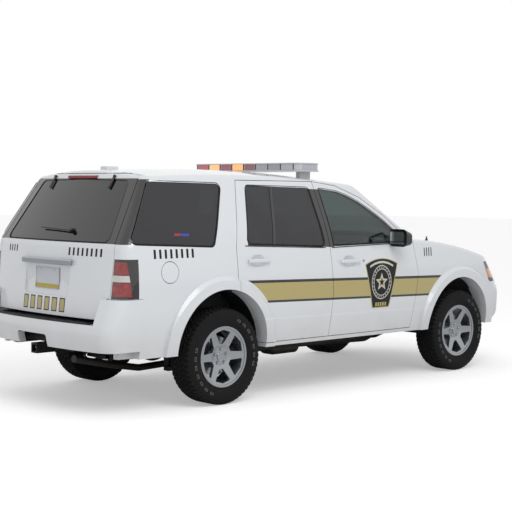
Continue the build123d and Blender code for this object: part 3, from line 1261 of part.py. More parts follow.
def build_parts():
    """All sub-parts by name."""
    parts = {}
    cabin, front, inside = cabin_form(), front_form(), void()
    cabin_shell = cabin - inside
    parts["roof_panel"] = whole_roof(cabin_shell, cabin)
    parts["tailgate"], parts["tailgate_glass"] = tailgate_pieces(cabin_shell)
    parts["hood"] = largest((front - inside) & hood_opening())
    panels = {"skin": outer_skin(cabin, front, inside)}
    door_shells(panels)
    shut_lines(panels)
    side_pieces(panels, parts)
    front_pieces(panels, parts)
    rear_pieces(panels, parts)
    wheels(parts)
    parts["front_knuckle_left"] = knuckle()
    parts["front_knuckle_right"] = mirrored(parts["front_knuckle_left"])
    parts["front_suspension"] = front_suspension()
    parts["rear_suspension"] = rear_suspension()
    parts["chassis_frame"] = chassis_frame()
    parts["floor_pan"] = floor_pan()
    parts["wheel_liners"] = wheel_liners()
    parts["power_unit"] = power_unit()
    parts["driveline"] = driveline()
    parts["exhaust"] = exhaust()
    parts["fuel_tank"] = fuel_tank()
    parts["radiator"] = radiator()
    parts["dashboard"] = dashboard()
    parts["steering_wheel"] = steering_wheel()
    seats(parts)
    light_bar(parts)
    return parts


os.makedirs("parts", exist_ok=True)
for name, solid in build_parts().items():
    export_step(solid, f"parts/{name}.step")
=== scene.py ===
"""Looks of a police sport utility vehicle, built round its packed construction.

Every length is in metres, in the frame of the construction: +X is forward, +Y the driver's left, +Z up, and
the origin is on the ground, midway between the two bumpers.
"""
import sys

import logging
import math
from dataclasses import dataclass, field
from enum import Enum
from typing import Callable, ClassVar, Iterable, Sequence

import bpy
from mathutils import Matrix, Vector
from mathutils.bvhtree import BVHTree


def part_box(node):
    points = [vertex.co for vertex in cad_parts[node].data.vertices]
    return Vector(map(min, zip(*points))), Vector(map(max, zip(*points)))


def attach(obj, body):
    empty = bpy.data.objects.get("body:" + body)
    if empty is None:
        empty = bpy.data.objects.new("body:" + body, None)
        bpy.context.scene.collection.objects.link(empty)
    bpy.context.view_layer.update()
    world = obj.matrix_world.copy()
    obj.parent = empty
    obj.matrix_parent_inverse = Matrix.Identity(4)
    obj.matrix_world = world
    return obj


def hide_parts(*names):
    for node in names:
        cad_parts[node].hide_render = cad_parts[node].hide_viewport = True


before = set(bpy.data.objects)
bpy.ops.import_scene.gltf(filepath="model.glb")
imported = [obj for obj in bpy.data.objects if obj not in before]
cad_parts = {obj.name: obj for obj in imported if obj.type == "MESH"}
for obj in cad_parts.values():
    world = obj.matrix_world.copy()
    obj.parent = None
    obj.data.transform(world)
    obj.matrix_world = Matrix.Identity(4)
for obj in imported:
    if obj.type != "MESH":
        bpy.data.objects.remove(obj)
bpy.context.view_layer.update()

log = logging.getLogger("vehicle")

REAR_AXLE = -1.303
FRONT_AXLE = 1.585
# The wheel arches' flares: place forward, height and radius
REAR_FLARE = (REAR_AXLE - 0.015, 0.445, 0.546)
FRONT_FLARE = (FRONT_AXLE - 0.015, 0.425, 0.541)
# Name of each side and the sign of Y there
SIDES = (("left", 1), ("right", -1))
UP = Vector((0, 0, 1))
AHEAD = Vector((1, 0, 0))
MM = 0.001
# Further than any point of the vehicle is from another
FAR = 6.0
# How near a pad's outline is to a square: 1 is round and 0 is square
ROUNDNESS = 0.38

MATH, MIX, RANGE = "ShaderNodeMath", "ShaderNodeMix", "ShaderNodeMapRange"
NOISE, WAVE, CELLS = "ShaderNodeTexNoise", "ShaderNodeTexWave", "ShaderNodeTexVoronoi"
SPLIT = "ShaderNodeSeparateXYZ"

Tree = bpy.types.NodeTree
Node = bpy.types.Node
Socket = bpy.types.NodeSocket
Rows = Sequence[Sequence[Vector]]
Flat = tuple[float, float]


def linear(code: str) -> tuple[float, float, float, float]:
    """Turn an sRGB hex colour into a linear one.

    Args:
        code: The colour as "#RRGGBB".

    Returns:
        Linear red, green, blue and an alpha of 1.
    """
    parts = [int(code[at:at + 2], 16) / 255 for at in (1, 3, 5)]
    red, green, blue = [p / 12.92 if p <= 0.04045 else ((p + 0.055) / 1.055) ** 2.4 for p in parts]
    return red, green, blue, 1.0


def add(tree: Tree, kind: str, inputs: dict | Sequence = (), **settings: object) -> Node:
    """Add one node with its settings and links.

    Args:
        tree: The material's node tree.
        kind: The node's type.
        inputs: Plain values, sockets or nodes, by the socket's name or number, or else in order. A node
            stands for its first output that is in use.
        settings: Properties of the node.

    Returns:
        The new node.
    """
    node = tree.nodes.new(kind)
    for name, value in settings.items():
        setattr(node, name, value)
    for at, value in (inputs if isinstance(inputs, dict) else dict(enumerate(inputs))).items():
        if isinstance(value, Node):
            value = next(out for out in value.outputs if out.enabled)
        if isinstance(value, Socket):
            tree.links.new(value, node.inputs[at])
        else:
            node.inputs[at].default_value = value
    return node


def span(low: float, high: float) -> tuple[float, float]:
    """Middle and half width of a stretch, as a comparison takes them."""
    return (low + high) / 2, (high - low) / 2


@dataclass(frozen=True)
class Finish:
    """A surface: what it is made of, how it was made, and what that gives the eye."""

    name: str
    base: str
    roughness: float
    metallic: float = 0.0
    ior: float = 1.5
    grain_mm: float = 2.0
    grain_depth_mm: float = 0.02
    tone: float = 0.05
    tone_mm: float = 350.0
    wear: float = 0.06
    coat: float = 0.0
    coat_roughness: float = 0.04
    sheen: float = 0.0
    transmission: float = 0.0
    specular: float = 0.5
    glow: str = ""
    glow_strength: float = 0.0

    def colour(self, tree: Tree, place: Socket) -> Node:
        """Base colour with a slow change of tone.

        Args:
            tree: The material's node tree.
            place: The point in the frame.

        Returns:
            The node that gives the colour.
        """
        slow = add(tree, NOISE, {"Vector": place, "Scale": 1000 / self.tone_mm, "Detail": 3.0})
        dark, pale = [(*(min(1.0, c * (1 + way * self.tone)) for c in linear(self.base)[:3]), 1.0)
                      for way in (-1, 1)]
        return add(tree, MIX, {0: slow, 6: dark, 7: pale}, data_type="RGBA")

    def height(self, tree: Tree, place: Socket) -> Node:
        """Height of the surface's grain, from 0 to 1."""
        return add(tree, NOISE, {"Vector": place, "Scale": 1000 / self.grain_mm, "Detail": 2.0})

    def rough(self, tree: Tree, place: Socket) -> Node:
        """Roughness, worn unevenly, in patches a third as wide as those of the tone.

        Args:
            tree: The material's node tree.
            place: The point in the frame.

        Returns:
            The node that gives the roughness.
        """
        patch = add(tree, NOISE, {"Vector": place, "Scale": 3000 / self.tone_mm, "Detail": 4.0})
        low, high = max(0.0, self.roughness - self.wear / 2), min(1.0, self.roughness + self.wear / 2)
        return add(tree, RANGE, {0: patch, 3: low, 4: high})

    def special(self, tree: Tree, place: Socket) -> dict[str, object]:
        """Inputs of the shader that few surfaces have: here, the light of a lamp that is on.

        Args:
            tree: The material's node tree.
            place: The point in the frame.

        Returns:
            What goes to each of the shader's sockets.
        """
        if not self.glow:
            return {}
        return {"Emission Color": linear(self.glow), "Emission Strength": self.glow_strength}

    def material(self) -> bpy.types.Material:
        """Make the material, or give the one already made.

        Returns:
            The material.
        """
        made = bpy.data.materials.get(self.name)
        if made:
            return made
        made = bpy.data.materials.new(self.name)
        made.use_nodes = True
        tree = made.node_tree
        tree.nodes.clear()
        place = add(tree, "ShaderNodeTexCoord").outputs["Object"]
        relief = add(tree, "ShaderNodeBump", {"Height": self.height(tree, place), "Strength": 1.0,
                                              "Distance": self.grain_depth_mm * MM})
        shader = add(tree, "ShaderNodeBsdfPrincipled", {
            "Base Color": self.colour(tree, place), "Roughness": self.rough(tree, place), "Normal": relief,
            "Metallic": self.metallic, "Coat Weight": self.coat, "Coat Roughness": self.coat_roughness,
            "Sheen Weight": self.sheen, "Transmission Weight": self.transmission,
            "Specular IOR Level": self.specular, **({} if self.metallic else {"IOR": self.ior}),
            **self.special(tree, place)})
        add(tree, "ShaderNodeOutputMaterial", {"Surface": shader})
        made.diffuse_color = linear(self.base)
        return made


class Livery(Enum):
    """What the body paint carries on a panel."""

    PLAIN = "plain"
    STRIPED = "striped"
    DOOR = "door"
    QUARTER = "quarter"
    GATE = "gate"


@dataclass(frozen=True)
class Edge:
    """Leaning edge of a blacked pillar: its place at a height, its lean for each metre up, and its side."""

    x: float
    z: float
    lean: float
    side: str


# Blacked pillars between the windows: their edges, their fall for each metre forward, and their heights
BLACKED = {
    Livery.DOOR: ((Edge(REAR_AXLE + 1.188, 1.187, 0.14, "LESS_THAN"),
                   Edge(REAR_AXLE + 0.232, 1.222, -0.197, "GREATER_THAN")), 0.035, (1.171, 1.640)),
    Livery.QUARTER: ((Edge(REAR_AXLE - 0.862, 1.244, -0.572, "LESS_THAN"),), 0.0, (1.236, 1.706)),
    Livery.GATE: ((), 0.0, (1.238, 1.712))}


@dataclass(frozen=True)
class BodyPaint(Finish):
    """White enamel over pressed steel, sprayed and lacquered: a deep, even gloss with road dust low down."""

    livery: Livery = Livery.PLAIN
    gold: str = "#B3A468"
    black: str = "#0B0B0D"
    dust: str = "#A7A197"
    underside_black: str = "#161617"
    stripe_fall: float = 0.0213
    stripe_gold: Flat = (0.758, 0.896)
    stripe_low: Flat = (0.740, 0.758)
    stripe_high: Flat = (0.896, 0.918)
    crease_fall: float = 0.012
    crease_z: float = 0.628
    crease_tall: float = 0.016
    crease_grains: float = 330.0
    dust_top: float = 0.75
    dust_full: float = 0.40
    dust_most: float = 0.45
    underside_z: float = 0.60

    def striped(self, tree: Tree, colour: Node, x: Socket, z: Socket) -> Node:
        """Lay the gold band and its black edges over a colour, clear of the wheel arches.

        Args:
            tree: The material's node tree.
            colour: The colour below.
            x: Distance forward.
            z: Height.

        Returns:
            The node that gives the colour.
        """
        level = add(tree, MATH, [x, self.stripe_fall, z], operation="MULTIPLY_ADD")
        clear = add(tree, MATH, [x, FRONT_AXLE], operation="LESS_THAN")
        at = add(tree, "ShaderNodeCombineXYZ", {0: x, 2: z})
        for ahead, up, radius in (REAR_FLARE, FRONT_FLARE):
            reach = add(tree, "ShaderNodeVectorMath", [at, (ahead, 0.0, up)], operation="DISTANCE")
            outside = add(tree, MATH, [reach, radius], operation="GREATER_THAN")
            clear = add(tree, MATH, [clear, outside], operation="MULTIPLY")
        bands = ((self.stripe_gold, self.gold), (self.stripe_low, self.black), (self.stripe_high, self.black))
        for limits, code in bands:
            band = add(tree, MATH, [level, *span(*limits)], operation="COMPARE")
            mask = add(tree, MATH, [band, clear], operation="MULTIPLY")
            colour = add(tree, MIX, {0: mask, 6: colour, 7: linear(code)}, data_type="RGBA")
        return colour

    def blacked(self, tree: Tree, colour: Node, x: Socket, z: Socket) -> Node:
        """Blacken the pillars between the windows, as on the panel's livery.

        Args:
            tree: The material's node tree.
            colour: The colour below.
            x: Distance forward.
            z: Height.

        Returns:
            The node that gives the colour.
        """
        edges, fall, heights = BLACKED[self.livery]
        level = add(tree, MATH, [x, fall, z], operation="MULTIPLY_ADD")
        mask = add(tree, MATH, [level, *span(*heights)], operation="COMPARE")
        for edge in edges:
            rise = add(tree, MATH, [z, edge.z], operation="SUBTRACT")
            lean = add(tree, MATH, [rise, edge.lean, x], operation="MULTIPLY_ADD")
            past = add(tree, MATH, [lean, edge.x], operation=edge.side)
            mask = add(tree, MATH, [mask, past], operation="MULTIPLY")
        return add(tree, MIX, {0: mask, 6: colour, 7: linear(self.black)}, data_type="RGBA")

    def colour(self, tree: Tree, place: Socket) -> Node:
        """White with the panel's livery, dust that thickens towards the road, and near black on faces that
        look down, low on the body.
        """
        colour = super().colour(tree, place)
        x, _, z = add(tree, SPLIT, [place]).outputs
        if self.livery in (Livery.STRIPED, Livery.DOOR):
            colour = self.striped(tree, colour, x, z)
        if self.livery in BLACKED:
            colour = self.blacked(tree, colour, x, z)
        cloud = add(tree, NOISE, {"Vector": place, "Scale": 5.0, "Detail": 5.0})
        low = add(tree, RANGE, [z, self.dust_top, self.dust_full, 0.0, self.dust_most])
        dusty = add(tree, MATH, [low, cloud], operation="MULTIPLY")
        colour = add(tree, MIX, {0: dusty, 6: colour, 7: linear(self.dust)}, data_type="RGBA")
        # Faces that look down, below the sill height, are made near black
        facing = add(tree, SPLIT, [add(tree, "ShaderNodeTexCoord").outputs["Normal"]]).outputs["Z"]
        downward = add(tree, MATH, [facing, -0.55], operation="LESS_THAN")
        near_road = add(tree, MATH, [z, self.underside_z], operation="LESS_THAN")
        below = add(tree, MATH, [downward, near_road], operation="MULTIPLY")
        return add(tree, MIX, {0: below, 6: colour, 7: linear(self.underside_black)}, data_type="RGBA")

    def height(self, tree: Tree, place: Socket) -> Node:
        """Fine orange peel, and on the doors and fenders the pressed crease above the sill."""
        peel = super().height(tree, place)
        if self.livery not in (Livery.DOOR, Livery.STRIPED):
            return peel
        x, _, z = add(tree, SPLIT, [place]).outputs
        level = add(tree, MATH, [x, self.crease_fall, z], operation="MULTIPLY_ADD")
        foot = self.crease_z - self.crease_tall
        step = add(tree, RANGE, [level, foot, self.crease_z, self.crease_grains, 0.0],
                   interpolation_type="SMOOTHSTEP")
        return add(tree, MATH, [peel, step], operation="ADD")


@dataclass(frozen=True)
class TailLens(Finish):
    """Moulded acrylic tail lamp: red blocks over and under a clear one, in a smoked black surround."""

    black: str = "#0A0A0D"
    clear: str = "#C9C6C2"
    deep_red: str = "#3C0306"
    dull_red: str = "#7E0A10"
    clear_z: Flat = (0.972, 1.018)
    red_z: Flat = (0.868, 1.112)
    rib: float = 0.006
    surround_x: float = -2.196
    surround_z: float = 0.99
    surround_lean: float = 0.10
    prism_mm: float = 12.0

    def colour(self, tree: Tree, place: Socket) -> Node:
        """Red with darker prisms, the clear band, and the black surround towards the flank."""
        x, _, z = add(tree, SPLIT, [place]).outputs
        blotch = add(tree, NOISE, {"Vector": place, "Scale": 22.0, "Detail": 2.0})
        cells = add(tree, CELLS, {"Vector": place, "Scale": 1000 / self.prism_mm / 3})
        deep = add(tree, MIX, {0: cells, 6: linear(self.base), 7: linear(self.deep_red)}, data_type="RGBA")
        dull = add(tree, MATH, [blotch, 0.8], operation="MULTIPLY")
        red = add(tree, MIX, {0: dull, 6: deep, 7: linear(self.dull_red)}, data_type="RGBA")
        band = add(tree, MATH, [z, *span(*self.clear_z)], operation="COMPARE")
        lens = add(tree, MIX, {0: band, 6: red, 7: linear(self.clear)}, data_type="RGBA")
        inside = add(tree, MATH, [z, *span(*self.red_z)], operation="COMPARE")
        edge = add(tree, MATH, [1.0, inside], operation="SUBTRACT")
        low, high = self.clear_z
        for limits in ((low - self.rib, low), (high, high + self.rib)):
            rib = add(tree, MATH, [z, *span(*limits)], operation="COMPARE")
            edge = add(tree, MATH, [edge, rib], operation="MAXIMUM")
        rise = add(tree, MATH, [z, self.surround_z], operation="SUBTRACT")
        lean = add(tree, MATH, [rise, self.surround_lean, x], operation="MULTIPLY_ADD")
        flank = add(tree, MATH, [lean, self.surround_x], operation="GREATER_THAN")
        edge = add(tree, MATH, [edge, flank], operation="MAXIMUM")
        return add(tree, MIX, {0: edge, 6: lens, 7: linear(self.black)}, data_type="RGBA")

    def height(self, tree: Tree, place: Socket) -> Node:
        """Rows of prisms moulded behind the lens."""
        return add(tree, CELLS, {"Vector": place, "Scale": 1000 / self.prism_mm}, distance="CHEBYCHEV")


@dataclass(frozen=True)
class GateFittings(Finish):
    """The tailgate's small parts: chromed grab bar, black wiper and hinge arms, red acrylic stop lamp."""

    black: str = "#0D0E10"
    red: str = "#8F1722"
    bar_top: float = 1.13
    lamp_z: float = 1.705
    lamp_half: float = 0.20

    def colour(self, tree: Tree, place: Socket) -> Node:
        """Chrome below, black above, red at the stop lamp."""
        _, y, z = add(tree, SPLIT, [place]).outputs
        above = add(tree, MATH, [z, self.bar_top], operation="GREATER_THAN")
        dark = add(tree, MIX, {0: above, 6: linear(self.base), 7: linear(self.black)}, data_type="RGBA")
        high = add(tree, MATH, [z, self.lamp_z], operation="GREATER_THAN")
        middle = add(tree, MATH, [y, 0.0, self.lamp_half], operation="COMPARE")
        lamp = add(tree, MATH, [high, middle], operation="MULTIPLY")
        return add(tree, MIX, {0: lamp, 6: dark, 7: linear(self.red)}, data_type="RGBA")

    def special(self, tree: Tree, place: Socket) -> dict[str, object]:
        """Only the grab bar, which is the lowest part, is metal."""
        z = add(tree, SPLIT, [place]).outputs["Z"]
        return {"Metallic": add(tree, MATH, [z, self.bar_top], operation="LESS_THAN")}


@dataclass(frozen=True)
class BarLens(Finish):
    """Clear polycarbonate cover of the light bar over coloured lamp modules, some of them lit."""

    pitch: float = 0.1508
    half: float = 0.665
    end: float = 0.062
    gap: float = 0.012
    rib: str = "#5B5E66"
    modules: ClassVar[tuple[tuple[str, float], ...]] = (
        ("#C4525A", 0.20), ("#FFA869", 0.95), ("#A8485A", 0.12), ("#FF9C55", 1.05), ("#96505E", 0.05),
        ("#B4B7BD", 0.0), ("#A9ADB4", 0.0), ("#C4C7CC", 0.0))

    def masks(self, tree: Tree, place: Socket) -> list[Node]:
        """Tell where each module lies along the bar.

        Args:
            tree: The material's node tree.
            place: The point in the frame.

        Returns:
            A node for each module that gives 1 in its stretch and 0 elsewhere.
        """
        y = add(tree, SPLIT, [place]).outputs["Y"]
        highs = [self.half - self.end - count * self.pitch for count in range(len(self.modules))]
        stretches = [span(high - self.pitch + self.gap, high - self.gap) for high in highs]
        return [add(tree, MATH, [y, *stretch], operation="COMPARE") for stretch in stretches]

    def painted(self, tree: Tree, masks: Sequence[Node], colour: object) -> Node:
        """Lay the modules' colours over another.

        Args:
            tree: The material's node tree.
            masks: Where each module lies.
            colour: The colour between the modules.

        Returns:
            The node that gives the colour.
        """
        for mask, (code, _) in zip(masks, self.modules):
            colour = add(tree, MIX, {0: mask, 6: colour, 7: linear(code)}, data_type="RGBA")
        return colour

    def colour(self, tree: Tree, place: Socket) -> Node:
        """Each module's colour, ribbed by its reflectors."""
        colour = self.painted(tree, self.masks(tree, place), super().colour(tree, place))
        ribs = add(tree, WAVE, {"Vector": place, "Scale": 26.0, "Distortion": 0.0}, bands_direction="Y")
        faint = add(tree, MATH, [ribs, 0.35], operation="MULTIPLY")
        return add(tree, MIX, {0: faint, 6: colour, 7: linear(self.rib)}, data_type="RGBA")

    def special(self, tree: Tree, place: Socket) -> dict[str, object]:
        """Light the modules that are on."""
        masks, strength = self.masks(tree, place), 0.0
        for mask, (_, power) in zip(masks, self.modules):
            strength = add(tree, MATH, [mask, power, strength], operation="MULTIPLY_ADD")
        return {"Emission Color": self.painted(tree, masks, linear("#000000")), "Emission Strength": strength}


@dataclass(frozen=True)
class Weave(Finish):
    """Woven polyester seat cloth: crossing yarns drawn wide enough to show."""

    yarn_mm: float = 3.0

    def height(self, tree: Tree, place: Socket) -> Node:
        """Warp over weft."""
        pitch = 1000 / self.yarn_mm / (2 * math.pi)
        yarn = {"Vector": place, "Scale": pitch, "Distortion": 0.4}
        warp, weft = [add(tree, WAVE, yarn, bands_direction=way) for way in ("Y", "X")]
        return add(tree, MATH, [warp, weft], operation="MULTIPLY")


# Sprayed enamel under lacquer: gloss with a faint orange peel, drawn at 6 mm so that it shows
WHITE = dict(base="#DDE0E4", roughness=0.30, tone=0.015, tone_mm=900.0, wear=0.05, coat=0.85,
             coat_roughness=0.03, grain_mm=6.0, grain_depth_mm=0.012)
PAINTS = {livery: BodyPaint(f"white_enamel_{livery.value}", livery=livery, **WHITE) for livery in Livery}
# Tinted toughened glass: near black and mirror smooth
PRIVACY = Finish("privacy_glass", "#0B0C0E", 0.02, tone=0.1, wear=0.01, transmission=0.30, specular=0.07,
                 grain_depth_mm=0.0)
# The tailgate's pane of the same glass lies back and takes more of the sky; its paler colour is a painted sky
# reflection
GATE_GLASS_PAINTED_SKY = Finish("privacy_glass_painted_sky", "#141518", 0.03, tone=0.1, wear=0.02, transmission=0.2,
                    specular=0.9, grain_depth_mm=0.0)
# Float glass with a light green tint: clear, with a thin reflection
WINDOW = Finish("tinted_float_glass", "#7F918E", 0.01, tone=0.02, wear=0.005, transmission=0.97, specular=0.3,
                grain_depth_mm=0.0)
# Polypropylene moulded with a leather grain: dull black
TRIM = Finish("grained_black_polypropylene", "#131416", 0.52, specular=0.35, grain_mm=2.2,
              grain_depth_mm=0.10, tone=0.12, wear=0.12)
# Extruded rubber seals: matt, a little grey with dust
RUBBER_SEAL = Finish("extruded_rubber_seal", "#0C0D0E", 0.68, specular=0.3, grain_mm=3.0, grain_depth_mm=0.04,
                     tone=0.15)
# Glass-filled nylon, moulded and painted: satin black
HOUSING = Finish("satin_black_housing", "#0C0D0E", 0.34, specular=0.4, grain_mm=2.0, grain_depth_mm=0.03,
                 tone=0.08)
# Chromed moulding: a bright mirror with a slight haze
CHROME = Finish("chromed_moulding", "#A9ADB2", 0.12, metallic=1.0, grain_depth_mm=0.0, tone=0.02, wear=0.05)
# Cast alloy, machined and lacquered: bright silver with a soft sheen
ALLOY = Finish("lacquered_cast_alloy", "#9B9EA2", 0.28, metallic=0.9, grain_mm=1.2, grain_depth_mm=0.01,
               tone=0.06, coat=0.4, tone_mm=120.0)
# Vulcanised rubber: near black, brown-grey dust on the flanks
TYRE = Finish("vulcanised_tyre_rubber", "#0E0E0F", 0.80, specular=0.25, grain_mm=2.5, grain_depth_mm=0.08,
              tone=0.25, tone_mm=60.0, wear=0.12)
# Pale rubber moulded into the flank: dull grey, blotched by scuffs
TYRE_LINE = Finish("pale_moulded_rubber", "#6F7072", 0.7, grain_mm=2.5, grain_depth_mm=0.05, tone=0.2,
                   tone_mm=30.0)
# Chassis black over steel, chipped and dusty
CHASSIS = Finish("chassis_black_paint", "#121213", 0.55, specular=0.3, grain_mm=8.0, grain_depth_mm=0.15,
                 tone=0.3, tone_mm=180.0)
# Iron cast in sand: a coarse dull grey skin
CAST = Finish("sand_cast_iron", "#4A4744", 0.62, metallic=0.6, grain_mm=3.0, grain_depth_mm=0.2, tone=0.25)
# Drawn steel tube, dulled and browned by heat
STEEL = Finish("heat_dulled_steel_tube", "#3B3835", 0.5, metallic=0.8, grain_mm=1.5, grain_depth_mm=0.02,
               tone=0.25, tone_mm=140.0)
# Sealer sprayed on the floor: dark and lumpy
FLOOR = Finish("sealed_floor_paint", "#202124", 0.6, grain_mm=9.0, grain_depth_mm=0.2, tone=0.2)
# Grained plastic of the cabin: dark grey, without gloss
CABIN = Finish("moulded_cabin_plastic", "#26282B", 0.6, grain_mm=2.4, grain_depth_mm=0.12, tone=0.08)
# Woven cloth: dark, with a soft pale edge to its folds
CLOTH = Weave("woven_seat_cloth", "#2D2F33", 0.85, sheen=0.3, grain_depth_mm=0.35, tone=0.12, tone_mm=90.0)
# Vinyl stitched over a cord: a thin dark line with a slight gloss
PIPING = Finish("stitched_vinyl_welt", "#1B1C1E", 0.55, grain_mm=1.5, grain_depth_mm=0.05)
# Clear polycarbonate lens, thin and hollow, so it barely bends light
LENS = Finish("clear_polycarbonate_lens", "#F2F4F5", 0.02, ior=1.08, transmission=1.0, coat=1.0, tone=0.0,
              wear=0.01, grain_depth_mm=0.0)
# Aluminium laid on plastic in a vacuum: a mirror broken by wide flutes
REFLECTOR = Finish("vacuum_metallised_reflector", "#D9DBDD", 0.12, metallic=1.0, grain_mm=12.0,
                   grain_depth_mm=0.3, tone=0.03)
# Moulded amber acrylic over small prisms
AMBER = Finish("amber_acrylic", "#D9822B", 0.15, coat=1.0, grain_mm=6.0, grain_depth_mm=0.3, tone=0.12,
               tone_mm=30.0)
# Moulded red acrylic of the tail lamps, deep and glossy
TAIL = TailLens("moulded_tail_lens", "#C2202A", 0.14, coat=1.0, coat_roughness=0.02, grain_depth_mm=0.5)
# One node holds the tailgate's chrome, black and red parts, told apart by height
FITTINGS = GateFittings("tailgate_fittings_finish", "#A9ADB2", 0.16, grain_mm=5.0, tone=0.04)
# Clear cover over coloured modules: ribbed, bright and slightly milky
BAR_COVER = BarLens("light_bar_cover", "#C9CCD2", 0.18, coat=1.0, tone=0.08, tone_mm=60.0, grain_mm=10.0)
# Extruded and painted shell of the light bar: pale grey with a soft gloss
BAR_SHELL = Finish("light_bar_shell", "#B9BBBF", 0.3, coat=0.6, tone=0.06, grain_mm=4.0, grain_depth_mm=0.03)
# Printed vinyl film: flat colour with an even half gloss
DECAL_BLACK = Finish("printed_vinyl_black", "#0D0E11", 0.35, specular=0.3, tone=0.04, grain_depth_mm=0.0)
DECAL_GOLD = Finish("printed_vinyl_gold", "#B3A468", 0.32, coat=0.5, tone=0.05, grain_depth_mm=0.0)
DECAL_PALE = Finish("printed_vinyl_pale", "#C9C7BE", 0.32, coat=0.5, tone=0.04, grain_depth_mm=0.0)
# Pressed aluminium under pale paint, and its yellow band
PLATE = Finish("embossed_aluminium_plate", "#C4C9CF", 0.35, coat=0.3, tone=0.05, tone_mm=60.0, grain_mm=4.0)
PLATE_BAND = Finish("plate_yellow_band", "#B7A23C", 0.35, tone=0.06, grain_depth_mm=0.0)
# Silvered glass: a clean mirror
MIRROR_GLASS = Finish("silvered_mirror_glass", "#C8CDD0", 0.02, metallic=1.0, grain_depth_mm=0.0, tone=0.0,
                      wear=0.0)
# Diodes under small lenses, lit
LED_RED = Finish("lit_red_diode", "#FF2233", 0.3, glow="#FF2A3C", glow_strength=14.0, tone=0.0)
LED_BLUE = Finish("lit_blue_diode", "#2A44FF", 0.3, glow="#3A5CFF", glow_strength=18.0, tone=0.0)


def turns(count: int) -> list[float]:
    """Angles of points spaced evenly round a circle."""
    return [2 * math.pi * at / count for at in range(count)]


def standing(at: Vector, way: Vector) -> Matrix:
    """Local frame at a point, with its Z axis along a direction."""
    return Matrix.Translation(at) @ way.to_track_quat("Z", "Y").to_matrix().to_4x4()


def handed(row: Sequence[Vector], keep: bool) -> list[Vector]:
    """Row as it is or reversed, so that faces look outward on both sides of the car."""
    return list(row) if keep else list(reversed(row))


def squared(angle: float) -> Flat:
    """Point of a circle pressed towards a square."""
    return tuple(math.copysign(abs(v) ** ROUNDNESS, v) for v in (math.cos(angle), math.sin(angle)))


